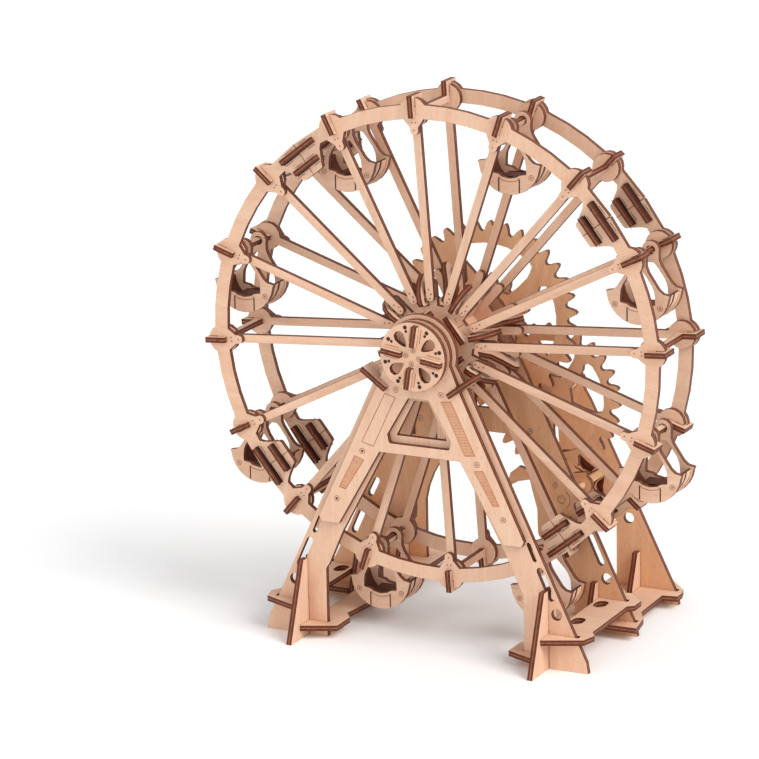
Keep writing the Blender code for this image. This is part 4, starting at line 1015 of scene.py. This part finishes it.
@dataclass
class WheelHub:
    """The two finger plates with their joint slabs, the ribs between them, and the axle.

    A cut of a rib holds its two radii, its place along the axle and its width.
    """

    timber: Timber
    plates: tuple[float, float] = (-0.0175, 0.0145)
    plate_grain: float = 20.0
    spoke_face: float = 0.0208
    slab_radius: float = 0.0142
    slab_half: float = 0.0083
    rib_count: int = 8
    rib_root: float = 0.0112
    rib_cuts: tuple[tuple[float, ...], ...] = (
        (0.0226, 0.0252, 0.0204, 0.0012),
        (0.0271, 0.0293, 0.0183, 0.0010),
        (0.0322, 0.0330, 0.0166, 0.0008),
    )
    foot: RoundMarks = RoundMarks(
        NODE_COUNT, node_angle(0), pins=((0.0, 0.0250), (-0.0007, 0.0273), (0.0004, 0.0298))
    )
    joint: RoundMarks = RoundMarks(
        JOINT_COUNT,
        node_angle(1.5),
        seams=((0.0157, 0.0200), (0.0116, 0.0127)),
        dashes=((0.00249, 0.00549, 0.0172),),
        dash_width=FINE,
    )

    def plate_layers(self, plate: float) -> list[Layer]:
        """The four slabs where they stand out of the plate that starts here, then the plate."""
        angles = [node_angle(1.5 + 4 * number) for number in range(JOINT_COUNT)]
        slabs = [Layer.slab(angle, self.slab_radius, self.slab_half, plate) for angle in angles]
        return [*slabs, Layer(ALONG, plate)]

    def build(self) -> None:
        """Makes the hub and its marks."""
        for plate, where in zip(self.plates, ("front", "rear")):
            layers = self.plate_layers(plate)
            self.timber.dress(f"hub_plate_{where}", "wheel", layers, grain=self.plate_grain)
        angles = [node_angle(0.5 + 2 * number) for number in range(self.rib_count)]
        ribs = [Layer.fin(angle, self.rib_root) for angle in angles]
        bush = Layer(ALONG, 0.0, all_face=True)
        self.timber.dress("hub_core", "wheel", [*ribs, bush], grain=0)
        front, rear = self.plates
        for where, sign, spoke, plate in (
            ("front", 1, -self.spoke_face - LIFT, front - LIFT),
            ("rear", -1, self.spoke_face + LIFT, rear + PLY + LIFT),
        ):
            self.foot.engrave(self.timber, f"hub_pins_{where}_1", spoke, sign)
            self.joint.engrave(self.timber, f"hub_joint_{where}_1", plate, sign)
        slits = side_marks(self.timber, "rib_slits_1", angles[0], self.rib_cuts, Mark.CHAR)
        repeat_round(slits, self.rib_count)
        rod = Layer(ALONG, 0.0, all_face=True)
        self.timber.rods(self.timber.dress("wheel_axle", "wheel", [rod], BIRCH_FACE_PAINTED_SHADE))


@dataclass
class HubCap:
    """The disc over the end of the axle: four slabs, four windows, pin heads and paired vents."""

    timber: Timber
    front: float = 0.0465
    grain: float = 60.0
    turn: float = -8.7
    slab_root: float = 0.0056
    pin_place: float = 0.0036
    pin_radius: float = 0.0014
    vent_aside: float = 23.0
    vents: Points = ((0.0139, 0.00080), (0.0160, 0.00112))
    groove: tuple[float, float] = (0.0082, 0.0160)
    groove_aside: float = 0.0031

    def build(self) -> None:
        """Makes the cap and draws its marks."""
        turns = [90 * number for number in range(4)]
        slabs = [Layer.fin(self.turn + turn, self.slab_root, -self.front) for turn in turns]
        self.timber.dress("hub_cap", "wheel", [*slabs, Layer(ALONG, -self.front)], grain=self.grain)
        origin = Vector((0, -self.front - LIFT, AXIS_HEIGHT))
        right, up = outward(self.turn), sideways(self.turn)
        marks = Engraver(self.timber, "cap_marks", origin, right, up)
        for slab in map(radians, turns):
            marks.pin((self.pin_place * cos(slab), self.pin_place * sin(slab)), self.pin_radius)
            for side in (-1, 1):
                angle = slab + side * radians(self.vent_aside)
                for radius, size in self.vents:
                    marks.disc((radius * cos(angle), radius * sin(angle)), size)
                turn = Matrix.Rotation(slab, 2)
                ends = [turn @ Vector((end, self.groove_aside * side)) for end in self.groove]
                marks.stroke(*ends, FINE)
        marks.finish("wheel")


@dataclass
class Cabins:
    """The eight boat-shaped cabins: two panels, a bent hull strip and a seat each."""

    timber: Timber
    pivot_radius: float = 0.1235
    half_depth: float = 0.010
    grain: float = 8.0
    hull_radius: float = 0.0161
    hull_skin: float = 0.0155
    hull_drop: float = 0.0185
    hull_facets: int = 12
    facet_turn: float = 14.0
    hull_start: float = -13.0
    band_width: float = 0.0020
    band_height: float = 0.00022
    pin: tuple[float, float] = (0.0125, -0.0258)
    pin_radius: float = 0.00155
    door: Points = ((0.0058, -0.0271), (0.0058, -0.0343))
    sill: Points = (
        (-0.0058, -0.0266),
        (-0.0043, -0.0281),
        (0, -0.0288),
        (0.0043, -0.0281),
        (0.0058, -0.0266),
    )

    def pivot(self, number: int) -> Vector:
        """The middle of a cabin's cross bar, by its number from 0."""
        return CENTRE + outward(node_angle(2 * number + 1)) * self.pivot_radius

    def within_panels(self, point: Vector) -> bool:
        """Whether a point lies between the two panels, off their faces."""
        return abs(point.y) < self.half_depth - PLY - CLEAR

    def layers(self, number: int) -> list[Layer]:
        """The sheets of a cabin: the outside of its hull, the inside, and the two panels.

        Args:
            number: Its number from 0.

        Returns:
            The layers, in this order.
        """
        centre = self.pivot(number) - UP * self.hull_drop

        def on_hull(point: Vector) -> bool:
            """Whether a point is on the outside of the hull strip."""
            rel = point - centre
            return self.within_panels(point) and Vector((rel.x, rel.z)).length > self.hull_skin

        return [
            Layer(UP, 0.0, on_hull, all_face=True),
            # The inside of the hull and the seat take the dark glue line of the cut edge: painted
            # shade inside the cabin, with the real char of the hull's bending cuts
            Layer(UP, 0.0, self.within_panels, all_char_and_shade=True),
            Layer(ALONG, -self.half_depth, lambda point: point.y < 0),
            Layer(ALONG, self.half_depth - PLY),
        ]

    def build(self) -> None:
        """Makes each cabin, then its marks from one drawn set."""
        first = self.pivot(0)
        drawn = [self.panel_marks(first, sign) for sign in (-1, 1)] + [self.hull_cuts(first)]
        for number in range(NODE_COUNT // 2):
            name = f"cabin_{number + 1}"
            self.timber.dress(name, name, self.layers(number), grain=self.grain)
            move = Matrix.Translation(self.pivot(number) - first)
            for part in drawn if number else ():
                repeat(part, part.name.replace("cabin_1", name), move, name)

    def panel_marks(self, pivot: Vector, sign: int) -> bpy.types.Object:
        """Draws the pins, door and sill of one panel of the first cabin.

        Args:
            pivot: The cabin's pivot.
            sign: -1 for the front panel, 1 for the rear one.

        Returns:
            The marks.
        """
        name = f"cabin_1_marks_{'front' if sign < 0 else 'rear'}"
        origin = pivot + ALONG * sign * (self.half_depth + LIFT)
        marks = Engraver(self.timber, name, origin, ACROSS * -sign, UP)
        for side in (-1, 1):
            marks.pin((side * self.pin[0], self.pin[1]), self.pin_radius)
            marks.path([(side * x, z) for x, z in self.door], width=BROAD, slot=Mark.CHAR)
        marks.path(self.sill)
        return marks.finish("cabin_1")

    def hull_cuts(self, pivot: Vector) -> bpy.types.Object:
        """Burns the band of bending cuts along the hull strip, as one dark curved line.

        Args:
            pivot: The cabin's pivot.

        Returns:
            The marks.
        """
        origin = pivot - UP * self.hull_drop
        marks = Engraver(self.timber, "cabin_1_hull_cuts", origin, ACROSS, UP)
        half_turn = radians(self.facet_turn / 2)
        size = (self.band_width, self.band_height, 2 * self.hull_radius * sin(half_turn))
        for number in range(self.hull_facets):
            out = outward(self.hull_start - self.facet_turn * number)
            turn = Matrix((ALONG, out, ALONG.cross(out))).transposed()
            place = origin + out * self.hull_radius * cos(half_turn)
            marks.bar(place, turn, size, Mark.CHAR)
        return marks.finish("cabin_1")


@dataclass
class Gears:
    """The gears, the crank and the stop lever.

    Each row holds a node, its body, where its sheet starts, its grain and whether it has rods.
    """

    timber: Timber
    sheets: tuple[tuple[str, str, float, float, bool], ...] = (
        ("wheel_gear", "wheel", 0.047, 75.0, False),
        ("wheel_pinion", "wheel", 0.056, 10.0, False),
        ("drive_gear", "drive", 0.056, 120.0, False),
        ("crank", "drive", 0.0886, 40.0, True),
        ("stop_lever", "stop_lever", 0.056, 0.0, True),
    )

    def build(self) -> None:
        """Makes the moving sheets and their rods."""
        for node, body, start, grain, has_rods in self.sheets:
            # Their faces take the veneer with painted shade and bounce light, darker and more orange
            piece = self.timber.dress(node, body, [Layer(ALONG, start)], BIRCH_FACE_PAINTED_SHADE, grain)
            if has_rods:
                self.timber.rods(piece, start)


@dataclass
class Stand:
    """The three A-frames with their feet, base plates, clamps and ties, and their marks.

    A row of the faces holds a node, the plane of its front and its grain.
    """

    timber: Timber
    faces: tuple[tuple[str, float, float], ...] = (
        ("front_frame", -0.0368, 88.0),
        ("front_facing", -0.0401, 90.0),
        ("middle_frame", 0.028, 92.0),
        ("rear_frame", 0.085, 86.0),
    )
    recess_floor: float = 0.0877
    foot_x: float = 0.070
    bases: tuple[tuple[str, float], ...] = (("upper", 0.0160), ("lower", 0.0050))
    clamp_heading: float = 36.0
    name_box: Points = (
        (-0.0193, -0.0230),
        (-0.0134, -0.0248),
        (-0.0266, -0.0526),
        (-0.0333, -0.0508),
    )
    name_box_line: float = 0.00032
    hatches: tuple[Points, ...] = (
        ((0.0130, -0.0241), (0.0187, -0.0235), (0.0321, -0.0513), (0.0263, -0.0519)),
        ((0.0314, -0.0595), (0.0365, -0.0588), (0.0455, -0.0767), (0.0420, -0.0771)),
        ((-0.0376, -0.0589), (-0.0322, -0.0608), (-0.0433, -0.0780), (-0.0471, -0.0771)),
    )
    hatch_counts: tuple[int, ...] = (36, 24, 24)
    rungs: int = 3
    rung_starts: tuple[float, float] = (0.75, 0.3)
    front_pins: Points = (
        (0.0130, -0.0205),
        (-0.0130, -0.0205),
        (0.0331, -0.0557),
        (-0.0331, -0.0559),
        (0.0477, -0.0838),
        (-0.0486, -0.0837),
    )
    dotted_pins: Points = ((-0.0331, -0.0559), (-0.0486, -0.0837))
    dot_radius: float = 0.00062
    middle_pins: Points = (
        (0.0325, -0.0560),
        (0.0468, -0.0843),
        (-0.0325, -0.0560),
    )
    lever_place: tuple[float, float] = (0.0502, -0.0917)
    lever_hole: float = 0.0006
    lever_ring: float = 0.0052
    lever_reach: float = 60.0
    lever_steps: int = 7
    recess_lines: tuple[Points, ...] = (
        (
            (0.0259, -0.0828),
            (0.0304, -0.0823),
            (0.0332, -0.0915),
            (0.0407, -0.0949),
            (0.0464, -0.0913),
        ),
        (
            (0.0502, -0.0936),
            (0.0448, -0.0986),
            (0.0440, -0.1015),
            (0.0463, -0.1072),
            (0.0492, -0.1090),
        ),
    )

    def build(self) -> None:
        """Makes the fixed sheets, then their marks."""
        dress = self.timber.dress
        # The floor of each recess in the rear frame is painted in the dark glue line of the cut
        # edge: painted shade deep in the recess
        floor = Layer(
            ALONG, 0.0, lambda point: abs(point.y - self.recess_floor) < ON_FACE, all_char_and_shade=True
        )
        for node, face, grain in self.faces:
            # The middle and rear frames take the veneer with painted shade and bounce light, darker
            # and more orange
            veneer = BIRCH_FACE if node.startswith("front") else BIRCH_FACE_PAINTED_SHADE
            floors = [floor] if node == "rear_frame" else []
            dress(node, "stand", [*floors, Layer(ALONG, face)], veneer, grain)
        for name, side in (("left", -1), ("right", 1)):
            foot = Layer(ACROSS, side * self.foot_x - PLY / 2)
            for where in ("front", "middle", "rear"):
                dress(f"foot_{where}_{name}", "stand", [foot])
            for where, start in self.bases:
                dress(f"{where}_base_{name}", "stand", [Layer(UP, start)], grain=0)
            turn = self.clamp_heading if side > 0 else 180 - self.clamp_heading
            normal = sideways(turn)
            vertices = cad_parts[f"clamp_{name}"].data.vertices
            start = min(vertex.co.dot(normal) for vertex in vertices)
            dress(f"clamp_{name}", "stand", [Layer(normal, start)], grain=turn)
            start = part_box(f"frame_tie_{name}")[0].x
            # The ties take the veneer with painted shade and bounce light as well
            dress(f"frame_tie_{name}", "stand", [Layer(ACROSS, start)], BIRCH_FACE_PAINTED_SHADE)
        self.facing_marks()
        self.middle_marks()
        self.rear_marks()

    def facing_marks(self) -> None:
        """Draws the bare box, the hatched fields and the pins on the front facing."""
        marks = Engraver.on_frame(self.timber, "facing_marks", self.faces[1][1])
        marks.path(self.name_box, closed=True, width=self.name_box_line)
        for corners, count in zip(self.hatches, self.hatch_counts):
            marks.path(corners, closed=True, width=FINE, slot=Mark.HATCH)
            a, b, c, d = (Vector(corner) for corner in corners)
            for number in range(count):
                share, after = (number + 0.5) / count, (number + 1) / count
                low, high = a.lerp(d, share), b.lerp(c, share)
                nearer, further = a.lerp(d, after), b.lerp(c, after)
                marks.stroke(low, high, slot=Mark.HATCH)
                for rung in range(self.rungs):
                    across = (rung + self.rung_starts[number % 2]) / self.rungs
                    start, end = low.lerp(high, across), nearer.lerp(further, across)
                    marks.stroke(start, end, FINE, Mark.HATCH)
        for place in self.front_pins:
            marks.pin(place, PIN_RADIUS)
            if place in self.dotted_pins:
                marks.disc(place, self.dot_radius, lift=marks.height)
        marks.finish("stand")

    def middle_marks(self) -> None:
        """Draws the pins on the front of the middle frame, and the ring round the lever's pin."""
        marks = Engraver.on_frame(self.timber, "middle_marks", self.faces[2][1])
        for place in self.middle_pins:
            marks.pin(place, PIN_RADIUS)
        x, z = self.lever_place
        turn = 2 * self.lever_reach / self.lever_steps
        angles = [radians(-self.lever_reach + turn * step) for step in range(self.lever_steps + 1)]
        ring = self.lever_ring
        marks.path([(x + ring * cos(angle), z + ring * sin(angle)) for angle in angles])
        marks.disc(self.lever_place, self.lever_hole)
        marks.finish("stand")

    def rear_marks(self) -> None:
        """Burns the bent line beside each recess of the rear frame's wing."""
        marks = Engraver.on_frame(self.timber, "rear_marks", self.faces[3][1])
        for line in self.recess_lines:
            marks.path(line, width=BROAD, slot=Mark.CHAR)
        marks.finish("stand")


@dataclass(frozen=True)
class Lamp:
    """A wide soft lamp far away: its direction, strength in watts a square metre, and width."""

    name: str
    towards: tuple[float, float, float]
    strength: float
    spread: float

    def hang(self) -> None:
        """Hangs the lamp."""
        data = bpy.data.lights.new(self.name, "SUN")
        data.angle = radians(self.spread)
        data.energy = self.strength
        obj = bpy.data.objects.new(self.name, data)
        bpy.context.scene.collection.objects.link(obj)
        obj.matrix_world = (-Vector(self.towards)).to_track_quat("-Z", "Y").to_matrix().to_4x4()


@dataclass
class Studio:
    """The white sweep, its lamps, and the camera at the photograph's angle."""

    azimuth: float = 26.92
    elevation: float = 14.89
    roll: float = -1.11
    distance: float = 2.24596
    aside: tuple[float, float] = (0.04762, -0.00548)
    step_back: float = 0.006
    lens: float = 203.47
    shift: tuple[float, float] = (0.03224, -0.06785)
    sensor: float = 36.0
    far: float = 20.0
    floor_size: float = 8.0
    paper: str = "#fbfbfb"
    paper_roughness: float = 0.9
    surround: float = 0.70
    lamps: tuple[Lamp, ...] = (
        Lamp("key", (0.72, -0.20, 0.70), 1.95, 34.0),
        Lamp("front_fill", (-0.15, -0.95, 0.35), 0.50, 60.0),
    )

    def camera(self) -> None:
        """Places the camera."""
        a, e, r = radians(self.azimuth), radians(self.elevation), radians(self.roll)
        back = Vector((sin(a) * cos(e), -cos(a) * cos(e), sin(e)))
        level = Vector((cos(a), sin(a), 0))
        up = back.cross(level)
        right = level * cos(r) + up * sin(r)
        top = level * -sin(r) + up * cos(r)
        place = back * self.distance - right * self.aside[0] - top * self.aside[1]
        place += Vector((0, -self.step_back, AXIS_HEIGHT))
        data = bpy.data.cameras.new("photo_camera")
        data.lens = self.lens
        data.sensor_width = self.sensor
        data.shift_x, data.shift_y = self.shift
        data.clip_end = self.far
        obj = bpy.data.objects.new("photo_camera", data)
        bpy.context.scene.collection.objects.link(obj)
        turn = Matrix((right, top, back)).transposed().to_4x4()
        obj.matrix_world = Matrix.Translation(place) @ turn
        bpy.context.scene.camera = obj

    def floor(self) -> None:
        """Lays a white paper floor that keeps the object's shadow."""
        deselect()
        bpy.ops.mesh.primitive_plane_add(size=self.floor_size, location=(0, 0, 0))
        floor = bpy.context.active_object
        floor.name = "floor"
        colour, roughness = linear(self.paper), self.paper_roughness
        paper, _, _ = new_material(
            "white_paper_sweep", Base_Color=colour, Roughness=roughness, Specular_IOR_Level=0.0
        )
        floor.data.materials.append(paper)

    def world(self) -> None:
        """Sets an even surround, which the camera and mirrors see as white."""
        world = bpy.data.worlds.new("studio")
        bpy.context.scene.world = world
        world.use_nodes = True
        tree = world.node_tree
        tree.nodes.clear()
        path = add_node(tree, "ShaderNodeLightPath")
        fill, white = (
            add_node(tree, "ShaderNodeBackground", Color=(1, 1, 1, 1), Strength=strength)
            for strength in (self.surround, 1.0)
        )
        seen = add_node(
            tree,
            "ShaderNodeMath",
            {"operation": "MAXIMUM"},
            in0=path.outputs["Is Camera Ray"],
            in1=path.outputs["Is Glossy Ray"],
        )
        share, dim, full = seen.outputs[0], fill.outputs[0], white.outputs[0]
        mixed = add_node(tree, "ShaderNodeMixShader", in0=share, in1=dim, in2=full)
        add_node(tree, "ShaderNodeOutputWorld", Surface=mixed.outputs[0])

    def build(self) -> None:
        """Builds the studio."""
        bpy.context.scene.view_settings.view_transform = "Standard"
        self.camera()
        self.floor()
        self.world()
        for lamp in self.lamps:
            lamp.hang()


def main() -> None:
    """Builds every sub-assembly in order, then the studio."""
    logging.basicConfig(level=logging.INFO, format="%(message)s")
    timber = Timber()
    for part in (WheelRings, CrossBars, WheelHub, HubCap, Cabins, Gears, Stand):
        part(timber).build()
        log.info("%s done", part.__name__)
    Studio().build()


if __name__ == "__main__":
    main()
